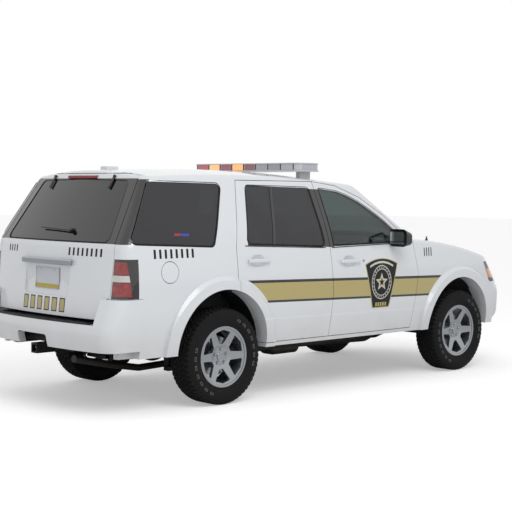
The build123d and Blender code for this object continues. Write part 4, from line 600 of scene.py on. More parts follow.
@dataclass
class Mesh:
    """One piece's points and faces, gathered before it becomes an object."""

    points: list[Vector] = field(default_factory=list)
    faces: list[tuple[int, ...]] = field(default_factory=list)
    finish_of: list[int] = field(default_factory=list)

    def grid(self, rows: Rows, wrap: bool = False, loop: bool = False, finish: int = 0,
             pick: Callable[[int, int], int] | None = None) -> "Mesh":
        """Skin over rows of points.

        Args:
            rows: Rows with as many points each.
            wrap: Whether each row closes on itself.
            loop: Whether the last row joins the first.
            finish: Number of the finish.
            pick: Gives the finish from row and column instead.

        Returns:
            This mesh.
        """
        start, wide = len(self.points), len(rows[0])
        self.points += [Vector(p) for row in rows for p in row]
        for i in range(len(rows) - (0 if loop else 1)):
            for j in range(wide - (0 if wrap else 1)):
                a, b = start + i * wide, start + (i + 1) % len(rows) * wide
                k = (j + 1) % wide
                self.faces.append((a + j, a + k, b + k, b + j))
                self.finish_of.append(pick(i, j) if pick else finish)
        return self

    def fan(self, outline: Sequence[Vector], finish: int = 0) -> "Mesh":
        """Fill a closed outline from its middle.

        Args:
            outline: Points in order.
            finish: Number of the finish.

        Returns:
            This mesh.
        """
        start = len(self.points)
        middle = sum((Vector(p) for p in outline), Vector()) / len(outline)
        self.points += [middle] + [Vector(p) for p in outline]
        for j in range(len(outline)):
            self.faces.append((start, start + 1 + j, start + 1 + (j + 1) % len(outline)))
            self.finish_of.append(finish)
        return self

    def tube(self, path: Sequence[Vector], radius: float, sides: int, closed: bool = False,
             finish: int = 0) -> "Mesh":
        """Round bar along a path.

        Args:
            path: Points along its middle.
            radius: Its radius.
            sides: Points round it.
            closed: Whether the path joins itself.
            finish: Number of the finish.

        Returns:
            This mesh.
        """
        rows = []
        for at, point in enumerate(path):
            before = path[at - 1] if at or closed else point
            after = path[(at + 1) % len(path)] if at + 1 < len(path) or closed else point
            way = (after - before).normalized()
            side = (way.orthogonal() if abs(way.z) > 0.95 else way.cross(UP)).normalized()
            up = side.cross(way)
            rows.append([point + (side * math.cos(a) + up * math.sin(a)) * radius for a in turns(sides)])
        self.grid(rows, wrap=True, loop=closed, finish=finish)
        if not closed:
            self.fan(rows[0], finish)
            self.fan(handed(rows[-1], False), finish)
        return self

    def turned(self, profile: Sequence[Flat], place: Matrix, steps: int = 48, finish: int = 0) -> "Mesh":
        """Profile of (radius, height) points turned about the local Z axis.

        Args:
            profile: Points from one end to the other.
            place: Where the local frame stands.
            steps: Points round it.
            finish: Number of the finish.

        Returns:
            This mesh.
        """
        ring = [(math.cos(a), math.sin(a)) for a in turns(steps)]
        rows = [[place @ Vector((r * x, r * y, h)) for x, y in ring] for r, h in profile]
        return self.grid(rows, wrap=True, finish=finish)

    def slab(self, low: Sequence[float], high: Sequence[float], edge: float, finish: int = 0,
             steps: int = 4) -> "Mesh":
        """Block with rounded edges.

        Args:
            low: Lowest corner.
            high: Highest corner.
            edge: Radius of its edges.
            finish: Number of the finish.
            steps: Points on each quarter turn.

        Returns:
            This mesh.
        """
        low, high = Vector(low), Vector(high)
        edge = min(edge, *(v / 2 - 1e-5 for v in (high - low)))
        plan = []
        for sx, sy, turn in ((1, 1, 0), (-1, 1, 1), (-1, -1, 2), (1, -1, 3)):
            corner = (high.x if sx > 0 else low.x, high.y if sy > 0 else low.y)
            centre = Vector((corner[0] - sx * edge, corner[1] - sy * edge))
            for s in range(steps + 1):
                angle = (turn + s / steps) * math.pi / 2
                plan.append((centre, Vector((math.cos(angle), math.sin(angle)))))
        levels = []
        for s in range(steps + 1):
            angle = (s / steps - 1) * math.pi / 2
            levels.append((edge * math.cos(angle), low.z + edge + edge * math.sin(angle)))
        levels += [(r, low.z + high.z - z) for r, z in reversed(levels)]
        rows = [[Vector((*(c + d * r), z)) for c, d in plan] for r, z in levels]
        self.grid(rows, wrap=True, finish=finish)
        self.fan(handed(rows[0], False), finish)
        self.fan(rows[-1], finish)
        return self

    def piece(self, name: str, body: str, slot: str, finishes: Sequence[Finish], angle: float = 32,
              replaces: Sequence[str] = ()) -> bpy.types.Object:
        """Make the object, dress it and let it ride on its body.

        Args:
            name: Name of the piece.
            body: Body that it rides on.
            slot: Material slot of the record; not used.
            finishes: Its finishes in order.
            angle: Edges sharper than this stay sharp, in degrees.
            replaces: Nodes that it stands for.

        Returns:
            The object.
        """
        data = bpy.data.meshes.new(name)
        data.from_pydata([tuple(p) for p in self.points], [], self.faces)
        for finish in finishes:
            data.materials.append(finish.material())
        data.polygons.foreach_set("material_index", self.finish_of)
        data.shade_smooth()
        data.set_sharp_from_angle(angle=math.radians(angle))
        data.validate()
        made = bpy.data.objects.new(name, data)
        bpy.context.scene.collection.objects.link(made)
        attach(made, body)
        if replaces:
            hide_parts(*replaces)
        log.info("%s: %d faces on %s", name, len(self.faces), body)
        return made


def dress(finish: Finish, *nodes: str) -> None:
    """Give nodes of the construction a finish.

    Args:
        finish: The finish.
        nodes: Names of the nodes.
    """
    for name in nodes:
        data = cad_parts[name].data
        data.materials.clear()
        data.materials.append(finish.material())
        log.info("%s: %s", name, finish.name)


def both(name: str) -> tuple[str, str]:
    """Names of a pair of nodes."""
    return f"{name}_left", f"{name}_right"


def surface(*nodes: str) -> BVHTree:
    """Faces of nodes, to lay other pieces on.

    Args:
        nodes: Names of the nodes.

    Returns:
        A tree of their faces.
    """
    points, faces = [], []
    for name in nodes:
        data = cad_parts[name].data
        start = len(points)
        points += [v.co.copy() for v in data.vertices]
        faces += [tuple(start + i for i in p.vertices) for p in data.polygons]
    return BVHTree.FromPolygons(points, faces)


def laid(tree: BVHTree, point: Vector, way: Vector, lift: float) -> Vector:
    """Drop a point on a surface.

    Args:
        tree: The surface.
        point: The point, anywhere along the way.
        way: Direction towards the surface, from outside.
        lift: How far the point stays off it.

    Returns:
        The point on the surface, or as it was where there is none.
    """
    hit = tree.ray_cast(point - way * FAR, way)[0]
    return (hit if hit is not None else point) - way * lift


def outline_of(node: str, right: Vector, up: Vector, side: int = 0) -> list[Flat]:
    """Convex outline of a node in a plane.

    Args:
        node: Name of the node.
        right: First axis of the plane.
        up: Second axis of the plane.
        side: 1 or -1 keeps only what lies on that side of the car.

    Returns:
        Points of the outline, anticlockwise.
    """
    corners = [v.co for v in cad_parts[node].data.vertices if not side or v.co.y * side > 0]
    points = sorted({(round(co.dot(right), 5), round(co.dot(up), 5)) for co in corners})

    def chain(run: Iterable[Flat]) -> list[Flat]:
        """One side of the outline."""
        kept: list[Flat] = []
        for p in run:
            while len(kept) > 1 and ((kept[-1][0] - kept[-2][0]) * (p[1] - kept[-2][1])
                                     - (kept[-1][1] - kept[-2][1]) * (p[0] - kept[-2][0])) <= 0:
                kept.pop()
            kept.append(p)
        return kept[:-1]

    return chain(points) + chain(reversed(points))


def spaced(outline: Sequence[Flat], step: float) -> list[Flat]:
    """Outline with points no further apart than a step."""
    found = []
    for (x0, z0), (x1, z1) in zip(outline, list(outline[1:]) + [outline[0]]):
        count = max(1, math.ceil(math.hypot(x1 - x0, z1 - z0) / step))
        found += [(x0 + (x1 - x0) * s / count, z0 + (z1 - z0) * s / count) for s in range(count)]
    return found


def grown(outline: Sequence[Flat], by: float) -> list[Flat]:
    """Outline moved outwards.

    Args:
        outline: Points, anticlockwise.
        by: How far, inwards where negative.

    Returns:
        As many points.
    """
    found = []
    for at, (x, z) in enumerate(outline):
        (x0, z0), (x1, z1) = outline[at - 1], outline[(at + 1) % len(outline)]
        way = Vector((x1 - x0, z1 - z0)).normalized()
        found.append((x + way.y * by, z - way.x * by))
    return found


@dataclass
class WindowSeal:
    """Rubber strip round one pane, seated on the panel and lapping the glass.

    The pane is seen along way, in the plane of right and up, and side picks one of its node's solids.
    """

    node: str
    panels: tuple[str, ...]
    body: str
    right: Vector
    up: Vector
    way: Vector
    side: int = 0
    width: float = 0.011
    crest: float = 0.0022
    lap: float = 0.004
    sunk: float = 0.0042

    def build(self, name: str) -> bpy.types.Object:
        """Make the strip.

        Args:
            name: Name of the piece.

        Returns:
            The object.
        """
        tree = surface(*self.panels)
        line = spaced(outline_of(self.node, self.right, self.up, self.side), 0.04)
        # How far out from the pane's edge, and how far off the panel
        sections = ((self.width, -0.0004), (self.width * 0.8, self.crest * 0.8),
                    (self.width * 0.3, self.crest), (0.0, self.crest * 0.6),
                    (-self.lap * 0.6, -self.sunk * 0.7), (-self.lap, -self.sunk))
        foot = [laid(tree, self.right * u + self.up * v, self.way, 0.0) for u, v in grown(line, self.width)]
        rows = [[self.right * u + self.up * v + self.way * (base.dot(self.way) - lift)
                 for (u, v), base in zip(grown(line, by), foot)] for by, lift in sections]
        if self.right.cross(self.up).dot(self.way) > 0:
            rows.reverse()
        return Mesh().grid(rows, wrap=True).piece(name, self.body, "black_trim", [RUBBER_SEAL], 50)


@dataclass
class Bodywork:
    """Outer panels, their liveries, seals and film."""

    screen_rake: float = 33.0
    belt_lift: float = 0.0035
    belts: ClassVar[tuple[tuple[str, tuple, tuple], ...]] = (
        ("rear_door", (-1.10, 0, 1.206), (-0.165, 0, 1.171)),
        ("front_door", (-0.145, 0, 1.172), (0.70, 0, 1.190)))
    lock_place: tuple[float, float, float] = (0.235, 0, 1.052)
    diode_start: tuple[float, float, float] = (-1.755, -0.6, 1.303)
    diode_step: tuple[float, float, float] = (0.020, 0, -0.0006)
    aerial_place: tuple[float, float, float] = (1.155, -0.835, 1.2)

    def dress(self) -> None:
        """Give every panel its paint."""
        dress(PAINTS[Livery.DOOR], *both("front_door"), *both("rear_door"))
        dress(PAINTS[Livery.STRIPED], *both("fender"))
        dress(PAINTS[Livery.QUARTER], *both("quarter_panel"), *both("body_side"), "roof_panel")
        dress(PAINTS[Livery.GATE], "tailgate")
        dress(PAINTS[Livery.PLAIN], "hood", "front_bumper", "rear_bumper", "fuel_door", "roof_antenna")
        dress(TRIM, "cowl_panel", "grille", "step_pad", "wheel_liners")
        dress(HOUSING, *both("door_mirror"))
        dress(PRIVACY, *both("rear_door_glass"), "quarter_glass")
        # The tailgate's pane takes the lighter copy of the glass, its colour a painted sky reflection
        dress(GATE_GLASS_PAINTED_SKY, "tailgate_glass")
        dress(WINDOW, *both("front_door_glass"), "windscreen")

    def seals(self) -> None:
        """Rubber round every pane."""
        for side, sign in SIDES:
            way = Vector((0, -sign, 0))
            for door in ("front_door", "rear_door"):
                panel = f"{door}_{side}"
                seal = WindowSeal(f"{door}_glass_{side}", (panel,), panel, AHEAD, UP, way)
                seal.build(f"{door}_seal_{side}")
            panels = (f"quarter_panel_{side}", "roof_panel")
            WindowSeal("quarter_glass", panels, "root", AHEAD, UP, way, sign).build(f"quarter_seal_{side}")
        right = Vector((0, -1, 0))
        gate = WindowSeal("tailgate_glass", ("tailgate",), "tailgate", right, UP, AHEAD, width=0.006)
        gate.build("tailgate_seal")
        rake = math.radians(self.screen_rake)
        slope = Vector((-math.cos(rake), 0, math.sin(rake)))
        normal = Vector((-math.sin(rake), 0, -math.cos(rake)))
        panels = ("roof_panel", "cowl_panel", *both("body_side"))
        screen = WindowSeal("windscreen", panels, "root", Vector((0, 1, 0)), slope, normal, width=0.014)
        screen.build("windscreen_seal")

    def film(self, name: str, tree: BVHTree, body: str, way: Vector, right: Vector, origin: Vector,
             shapes: Sequence[tuple[Rows, int, int]], finishes: Sequence[Finish]) -> bpy.types.Object:
        """Lay flat shapes on a panel, each a little above the one before.

        Args:
            name: Name of the piece.
            tree: The panel's surface.
            body: Body that it rides on.
            way: Direction towards the surface.
            right: Direction of the shapes' first axis.
            origin: Where the shapes' origin lies.
            shapes: Rows of (right, up, 0) points, the number of their finish, and their layer.
            finishes: The finishes.

        Returns:
            The object.
        """
        mesh = Mesh()
        for rows, finish, layer in shapes:
            lift = (0.5 + 0.4 * layer) * MM
            flat = [[origin + right * p[0] + UP * p[1] for p in row] for row in rows]
            mesh.grid([[laid(tree, p, way, lift) for p in row] for row in flat], finish=finish)
        return mesh.piece(name, body, "paint", finishes, 60)

    def badges(self) -> None:
        """A plain shield on each front door, and short bars and blocks in place of words and numbers."""
        for side, sign in SIDES:
            way, right = Vector((0, -sign, 0)), Vector((-sign, 0, 0))
            door = f"front_door_{side}"
            self.film(f"door_shield_{side}", surface(door), door, way, right, Vector((0.463, 0, 0.855)),
                      Shield().shapes(), [DECAL_BLACK, DECAL_GOLD, DECAL_PALE])
            for name, panel, origin, marks in (
                    ("fender_marks", "fender", (1.10, 0, 1.105), bars(4, 0.032, 0.012, 0.075)),
                    ("quarter_marks", "quarter_panel", (-1.80, 0, 1.165), bars(8, 0.050, 0.020, 0.066))):
                tree = surface(f"{panel}_{side}")
                self.film(f"{name}_{side}", tree, "root", way, right, Vector(origin), marks, [DECAL_BLACK])
        gate, right = surface("tailgate"), Vector((0, -1, 0))
        blocks = bars(6, 0.096, 0.066, 0.104) + bars(6, 0.096, 0.050, 0.088, 1)
        for name, origin, marks, finishes in (
                ("marks_right", (0, -0.437, 1.172), bars(8, 0.050, 0.020, 0.058), [DECAL_BLACK]),
                ("marks_left", (0, 0.525, 1.170), bars(4, 0.040, 0.016, 0.050), [DECAL_BLACK]),
                ("gold_blocks", (0, 0.012, 0.773), blocks, [DECAL_BLACK, DECAL_GOLD])):
            self.film(f"tailgate_{name}", gate, "tailgate", AHEAD, right, Vector(origin), marks, finishes)

    def belt(self) -> None:
        """Dark belt mouldings under the side windows of the doors."""
        for side, sign in SIDES:
            way = Vector((0, -sign, 0))
            for door, start, end in self.belts:
                tree = surface(f"{door}_{side}")
                line = [Vector(start).lerp(Vector(end), s / 16) for s in range(17)]
                belt = Mesh().tube([laid(tree, p, way, self.belt_lift / 2) for p in line], self.belt_lift, 10)
                belt.piece(f"{door}_belt_{side}", f"{door}_{side}", "black_trim", [RUBBER_SEAL], 50)

    def locks(self) -> None:
        """Key cylinders beside the front handles."""
        profile = [(0.0, 0.0012), (0.007, 0.0012), (0.008, 0.0022), (0.0115, 0.0022), (0.0125, -0.001)]
        for side, sign in SIDES:
            door, way = f"front_door_{side}", Vector((0, -sign, 0))
            place = standing(laid(surface(door), Vector(self.lock_place), way, 0.0), -way)
            Mesh().turned(profile, place, 28).piece(f"door_lock_{side}", door, "bright_trim", [CHROME], 40)

    def beacon(self) -> None:
        """Small lit diode bar behind the right quarter glass: three red and four blue in a black strip."""
        tree = surface("quarter_glass")
        way, half = Vector((0, 1, 0)), Vector((0.007, 0.004, 0.009))
        mesh = Mesh()
        for at in range(7):
            point = laid(tree, Vector(self.diode_start) + Vector(self.diode_step) * at, way, -0.014)
            mesh.slab(point - half, point + half, 0.003, finish=0 if at < 3 else 1)
        start = mesh.points[0]
        low, high = start - Vector((0.02, -0.006, 0.012)), start + Vector((0.15, 0.016, 0.012))
        mesh.slab(low, high, 0.003, finish=2)
        mesh.piece("window_diode_bar", "root", "bar_lens", [LED_RED, LED_BLUE, TRIM], 40)

    def aerial(self) -> None:
        """Foot of the aerial on the right fender."""
        foot = laid(surface("fender_right"), Vector(self.aerial_place), -UP, 0.0)
        profile = [(0.013, -0.002), (0.013, 0.006), (0.008, 0.012), (0.0055, 0.034), (0.0001, 0.036)]
        made = Mesh().turned(profile, Matrix.Translation(foot), 20)
        made.piece("aerial_foot", "root", "black_trim", [HOUSING], 40)

    def build(self) -> None:
        """Make and dress everything on the body."""
        self.beacon()
        self.aerial()
        self.dress()
        self.seals()
        self.belt()
        self.locks()
        self.badges()


def block(middle: Flat, wide: float, tall: float, steps: int = 2) -> Rows:
    """Upright rectangle of points about a middle.

    Args:
        middle: Its place to the right and up.
        wide: Its width.
        tall: Its height.
        steps: Faces along each side.

    Returns:
        Rows of points, from its foot up.
    """
    shares = [s / steps - 0.5 for s in range(steps + 1)]
    return [[Vector((middle[0] + wide * u, middle[1] + tall * v, 0)) for u in shares] for v in shares]


def bars(count: int, pitch: float, wide: float, tall: float, finish: int = 0) -> list[tuple[Rows, int, int]]:
    """Row of upright bars about an origin.

    Args:
        count: How many.
        pitch: Distance between them.
        wide: Width of each.
        tall: Height of each.
        finish: Number of the finish, and of the layer.

    Returns:
        Shapes for a film.
    """
    middles = [(at - (count - 1) / 2) * pitch for at in range(count)]
    return [(block((middle, 0), wide, tall, 4), finish, finish) for middle in middles]


@dataclass
class Shield:
    """Generic patch: black field tapering to its foot, gold edge, pale ring and a plain star."""

    half_top: float = 0.210
    half_foot: float = 0.110
    top: float = 0.165
    arch: float = 0.046
    foot: float = -0.212
    edge: float = 0.009
    ring: float = 0.128
    squash: float = 1.14
    middle: float = 0.008

    def field(self, inset: float) -> Rows:
        """Rows of the field, from its foot to its arched top."""
        rows = []
        low, high = self.foot + inset, self.top - inset * 0.6
        for share in (t / 20 for t in range(21)):
            wide = self.half_foot + (self.half_top - self.half_foot) * share - inset
            rise = self.arch * max(0.0, share - 0.5) * 2
            rows.append([Vector((wide * u, low + (high - low) * share + rise * (1 - u ** 2), 0))
                         for u in (s / 8 - 1 for s in range(17))])
        return rows

    def round(self, radius: float, angle: float) -> Flat:
        """Point of the squashed circle about the patch's middle."""
        return radius * math.sin(angle), self.middle + radius * math.cos(angle) * self.squash

    def disc(self, outer: float, inner: float) -> Rows:
        """Ring or disc on the field."""
        return [[Vector((*self.round(r, a), 0)) for a in (*turns(40), 0.0)]
                for r in (inner, (inner + outer) / 2, outer)]

    def star(self, reach: float) -> Rows:
        """Five-pointed star as a middle row and an outer one."""
        outer = []
        for s in range(11):
            r = reach if s % 2 == 0 else reach * 0.45
            angle = math.pi * s / 5
            outer.append(Vector((r * math.sin(angle), self.middle + r * math.cos(angle), 0)))
        centre = Vector((0, self.middle, 0))
        return [[centre] * 11, [centre.lerp(p, 0.5) for p in outer], outer]

    def strip(self, half: float, up: float, tall: float) -> Rows:
        """Short strip across the field, arched like its top."""
        return [[Vector((x * half, up + self.arch * 0.8 * (1 - x * x) + z * tall, 0))
                 for x in (-1, -0.6, -0.2, 0.2, 0.6, 1)] for z in (-1, 0, 1)]

    def beads(self, radius: float, count: int) -> list[tuple[Rows, int, int]]:
        """Small pale blocks set round a ring."""
        return [(block(self.round(radius, a), 0.010, 0.010), 2, 3) for a in turns(count)]

    def shapes(self) -> list[tuple[Rows, int, int]]:
        """All the shapes, from the lowest layer up."""
        found = [(self.field(0.0), 1, 0), (self.field(self.edge), 0, 1)]
        for outer, inner, finish in ((0.0, 0.007, 2), (0.026, 0.032, 2), (0.034, self.ring - 0.002, 0)):
            found.append((self.disc(self.ring - outer, self.ring - inner), finish, 2))
        found += [(self.star(0.080), 2, 3), (self.star(0.050), 1, 4), (self.star(0.034), 0, 5)]
        found += self.beads(self.ring - 0.0165, 24)
        found.append((self.strip(0.150, 0.143, 0.009), 2, 2))
        return found + [(block((at * 0.030, -0.180), 0.020, 0.032), 1, 2) for at in (-2, -1, 0, 1, 2)]


@dataclass
class Wheels:
    """Four wheels: all-terrain tyres on six-spoke alloys."""

    radius: float = 0.368
    track: float = 0.775
    groove: float = 0.009
    periods: int = 56
    steps: int = 10
    crown_half: float = 0.100
    crown_steps: int = 46
    shoulder: float = 0.078
    nut_ring: float = 0.05715
    sway: float = 0.005
    # Grooves round the crown: distance from the middle and half width; the inner ones sway
    grooves: ClassVar[tuple[Flat, ...]] = ((0.028, 0.0040), (0.0, 0.0025), (0.060, 0.0045))
    # Sipes of the middle, the next and the outer blocks: share of a period that they take, and of the depth
    sipes: ClassVar[tuple[Flat, ...]] = ((0.2, 0.8), (0.2, 0.8), (0.3, 0.9))
    flank: ClassVar[tuple[Flat, ...]] = (
        (0.0957, 0.224), (0.0977, 0.234), (0.1040, 0.240), (0.1050, 0.243), (0.1040, 0.246), (0.1120, 0.262),
        (0.1160, 0.276), (0.1172, 0.288), (0.1180, 0.290), (0.1180, 0.293), (0.1180, 0.304), (0.1180, 0.307),
        (0.1168, 0.309), (0.1160, 0.318), (0.1165, 0.322), (0.1130, 0.334), (0.1080, 0.345), (0.1030, 0.354),
        (0.102, 0.359))
    dash_rows: ClassVar[tuple[int, ...]] = (8, 9, 10)

    def tread_depth(self, turn: float, y: float) -> float:
        """How deep the tread is cut at a place.

        Args:
            turn: Place round the tyre, in tread periods.
            y: Distance across from the middle.

        Returns:
            Depth of the cut.
        """
        (inner, _), _, (outer, _) = self.grooves
        sway = self.sway * (1 if (turn % 1.0) < 0.5 else -1)
        for line, wide in self.grooves:
            if abs(abs(y + (sway if line < outer else 0)) - line) < wide:
                return self.groove
        zone = 0 if abs(y) < inner else 1 if abs(y) < outer else 2
        lean = (y * 16, y * 9 + 0.5, math.copysign(0.25, y))[zone]
        share, depth = self.sipes[zone]
        return self.groove * depth if (turn + lean) % 1.0 < share else 0.0

    def tyre(self, sign: int) -> Mesh:
        """Tyre about its own centre, with its marked side outward.

        Args:
            sign: 1 on the left of the car and -1 on the right.

        Returns:
            The mesh.
        """
        count = self.periods * self.steps
        crown = [(self.crown_half - 2 * self.crown_half * s / self.crown_steps, None)
                 for s in range(self.crown_steps + 1)]
        section = [*self.flank, *crown, *((-y, r) for y, r in reversed(self.flank))]
        rows = []
        for at, angle in enumerate(turns(count)):
            turn = at / self.steps
            row = []
            for y, r in section:
                if r is None:
                    over = max(0.0, abs(y) - self.shoulder)
                    r = self.radius - over ** 2 * 12 - self.tread_depth(turn, y)
                elif r > 0.35:
                    r -= self.tread_depth(turn, y) * 0.5
                row.append(Vector((r * math.sin(angle), y * sign, r * math.cos(angle))))
            rows.append(handed(row, sign > 0))
        last = len(section) - 2

        def pick(i: int, j: int) -> int:
            """Pale outline dashes on the outer flank."""
            j = j if sign > 0 else last - j
            share = i / count * 2 % 1.0
            if j not in self.dash_rows or not 0.12 < share < 0.62:
                return 0
            dash = (share - 0.12) / 0.5 * 7 % 1.0
            rim = j != 9 or dash < 0.20 or dash > 0.58
            return 1 if 0.14 < dash < 0.64 and rim else 0

        return Mesh().grid(rows, loop=True, pick=pick)

    def build(self) -> None:
        """Make the tyres and dress the rims."""
        for row, axle in (("front", FRONT_AXLE), ("rear", REAR_AXLE)):
            for side, sign in SIDES:
                mesh = self.tyre(sign)
                shift = Vector((axle, sign * self.track, self.radius))
                mesh.points = [p + shift for p in mesh.points]
                mesh.piece(f"tyre_tread_{row}_{side}", f"wheel_{row}_{side}", "tyre", [TYRE, TYRE_LINE], 25,
                           [f"tyre_{row}_{side}"])
                dress(ALLOY, f"rim_{row}_{side}")
                self.nuts(f"{row}_{side}", standing(shift, Vector((0, sign, 0))))

    def nuts(self, corner: str, face: Matrix) -> None:
        """Wheel nuts, valve and the cap's bright ring."""
        mesh = Mesh()
        for angle in turns(5):
            at = (-self.nut_ring * math.sin(angle), self.nut_ring * math.cos(angle), 0)
            mesh.turned([(0.0, 0.0665), (0.006, 0.0665), (0.0094, 0.0625), (0.0094, 0.045)],
                        face @ Matrix.Translation(at), 6)
        mesh.turned([(0.030, 0.0686), (0.033, 0.0692), (0.0352, 0.0680), (0.0356, 0.060)], face, 40)
        valve = [face @ Vector((0.155, 0.09, 0.080)), face @ Vector((0.151, 0.088, 0.098))]
        mesh.tube(valve, 0.0042, 10, finish=1)
        mesh.piece(f"wheel_nuts_{corner}", f"wheel_{corner}", "alloy", [CHROME, TRIM], 40)


@dataclass
class Lamps:
    """Lamps in the nose and tail, and the plate on the tailgate."""

    # Each bowl's distance from the middle of the car, height and radius
    bowls: ClassVar[tuple[tuple[float, float, float], ...]] = ((0.585, 0.905, 0.062), (0.715, 0.905, 0.055))
    plate_middle: Flat = (-0.004, 0.962)
    plate_half: Flat = (0.1525, 0.076)

    def bowl(self, mesh: Mesh, at: Vector, way: Vector, radius: float) -> None:
        """Dished reflector with its bulb, set behind the lens.

        Args:
            mesh: Where it goes.
            at: Middle of its rim.
            way: Direction that it faces.
            radius: Radius of the rim.
        """
        place, depth = standing(at, way), radius * 0.55
        dish = [(radius * s / 10, depth * (s / 10) ** 2 - depth) for s in range(1, 11)]
        flange = [(radius * 1.06, 0.002), (radius * 1.08, -0.004)]
        mesh.turned([(0.0001, -depth)] + dish + flange, place, 36)
        mesh.turned([(0.0001, 0.004), (0.006, 0.002), (0.010, -0.006), (0.010, -depth + 0.004)], place, 20, 3)

    def head(self) -> None:
        """Clear headlamps with their bowls, amber corners and bezels behind the lens."""
        dress(LENS, "headlamps")
        tree = surface("headlamps")
        for side, sign in SIDES:
            mesh = Mesh()
            for y, z, radius in self.bowls:
                rim = laid(tree, Vector((0, sign * y, z)), -AHEAD, -0.020)
                self.bowl(mesh, rim, Vector((1, sign * 0.05, 0)).normalized(), radius)
            bezel = []
            for z in (0.812 + 0.166 * t / 8 for t in range(9)):
                row = []
                for y in (0.445 + 0.43 * s / 14 for s in range(15)):
                    back = 0.046 + 0.25 * max(0.0, y - 0.80)
                    row.append(laid(tree, Vector((0, sign * y, z)), -AHEAD, -back))
                bezel.append(handed(row, sign < 0))
            mesh.grid(bezel, finish=2)
            amber = []
            for z in (0.835 + 0.085 * t / 4 for t in range(5)):
                back = 1.985 + (0.92 - z) * 0.5
                row = [laid(tree, Vector((back + 0.085 * s / 4, 0, z)), Vector((0, -sign, 0)), -0.007)
                       for s in range(5)]
                amber.append(handed(row, sign > 0))
            mesh.grid(amber, finish=1)
            mesh.piece(f"headlamp_inside_{side}", "root", "lamp_lens", [REFLECTOR, AMBER, HOUSING, LENS], 35)

    def tail(self) -> None:
        """Tail lamps, and the parts on the tailgate."""
        dress(TAIL, "tail_lamps")
        dress(FITTINGS, "tailgate_fittings")

    def on_plate(self, tree: BVHTree, u: float, v: float, lift: float) -> Vector:
        """Point over the tailgate, from -1 to 1 across the plate and up it."""
        (y, z), (wide, tall) = self.plate_middle, self.plate_half
        return laid(tree, Vector((0, y - u * wide, z + v * tall)), AHEAD, lift)

    def plate(self) -> None:
        """Blank number plate under the grab bar, in a slim frame with two screws."""
        tree = surface("tailgate")
        mesh = Mesh()
        mesh.grid([[self.on_plate(tree, u, v, 0.004) for u in (-1, -0.5, 0, 0.5, 1)]
                   for v in (-1, -0.56, -0.54, 0.5, 1)], pick=lambda i, j: 1 if i == 0 else 0)
        corners = ((-1, -1), (0, -1), (1, -1), (1, 0), (1, 1), (0, 1), (-1, 1), (-1, 0))
        mesh.tube([self.on_plate(tree, u, v, 0.0045) for u, v in corners], 0.0035, 8, closed=True, finish=2)
        for u in (-0.6, 0.6):
            place = standing(self.on_plate(tree, u, 0.82, 0.0045), -AHEAD)
            mesh.turned([(0.0001, 0.003), (0.004, 0.0028), (0.006, 0.0)], place, 14, 2)
        mesh.piece("number_plate_blank", "tailgate", "bright_trim", [PLATE, PLATE_BAND, CHROME], 40)

    def build(self) -> None:
        """Make and dress all the lamps."""
        self.head()
        self.tail()
        self.plate()


@dataclass
class LightBar:
    """Emergency light bar across the roof."""

    proud: float = 0.0012
    divider_half: Flat = (0.0025, 0.004)

    def build(self) -> None:
        """Dress the bar and its covers, and set a divider between each two modules."""
        dress(BAR_SHELL, "light_bar")
        dress(BAR_COVER, "light_bar_lenses")
        low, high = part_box("light_bar_lenses")
        mesh, (thick, wide) = Mesh(), self.divider_half
        for x in (low.x - self.proud, high.x + self.proud):
            for count in range(len(BarLens.modules) + 1):
                y = BAR_COVER.half - BAR_COVER.end - count * BAR_COVER.pitch
                mesh.slab((x - thick, y - wide, low.z + MM), (x + thick, y + wide, high.z - MM), 0.0015)
        mesh.piece("light_bar_dividers", "root", "bar_plastic", [TRIM], 40)


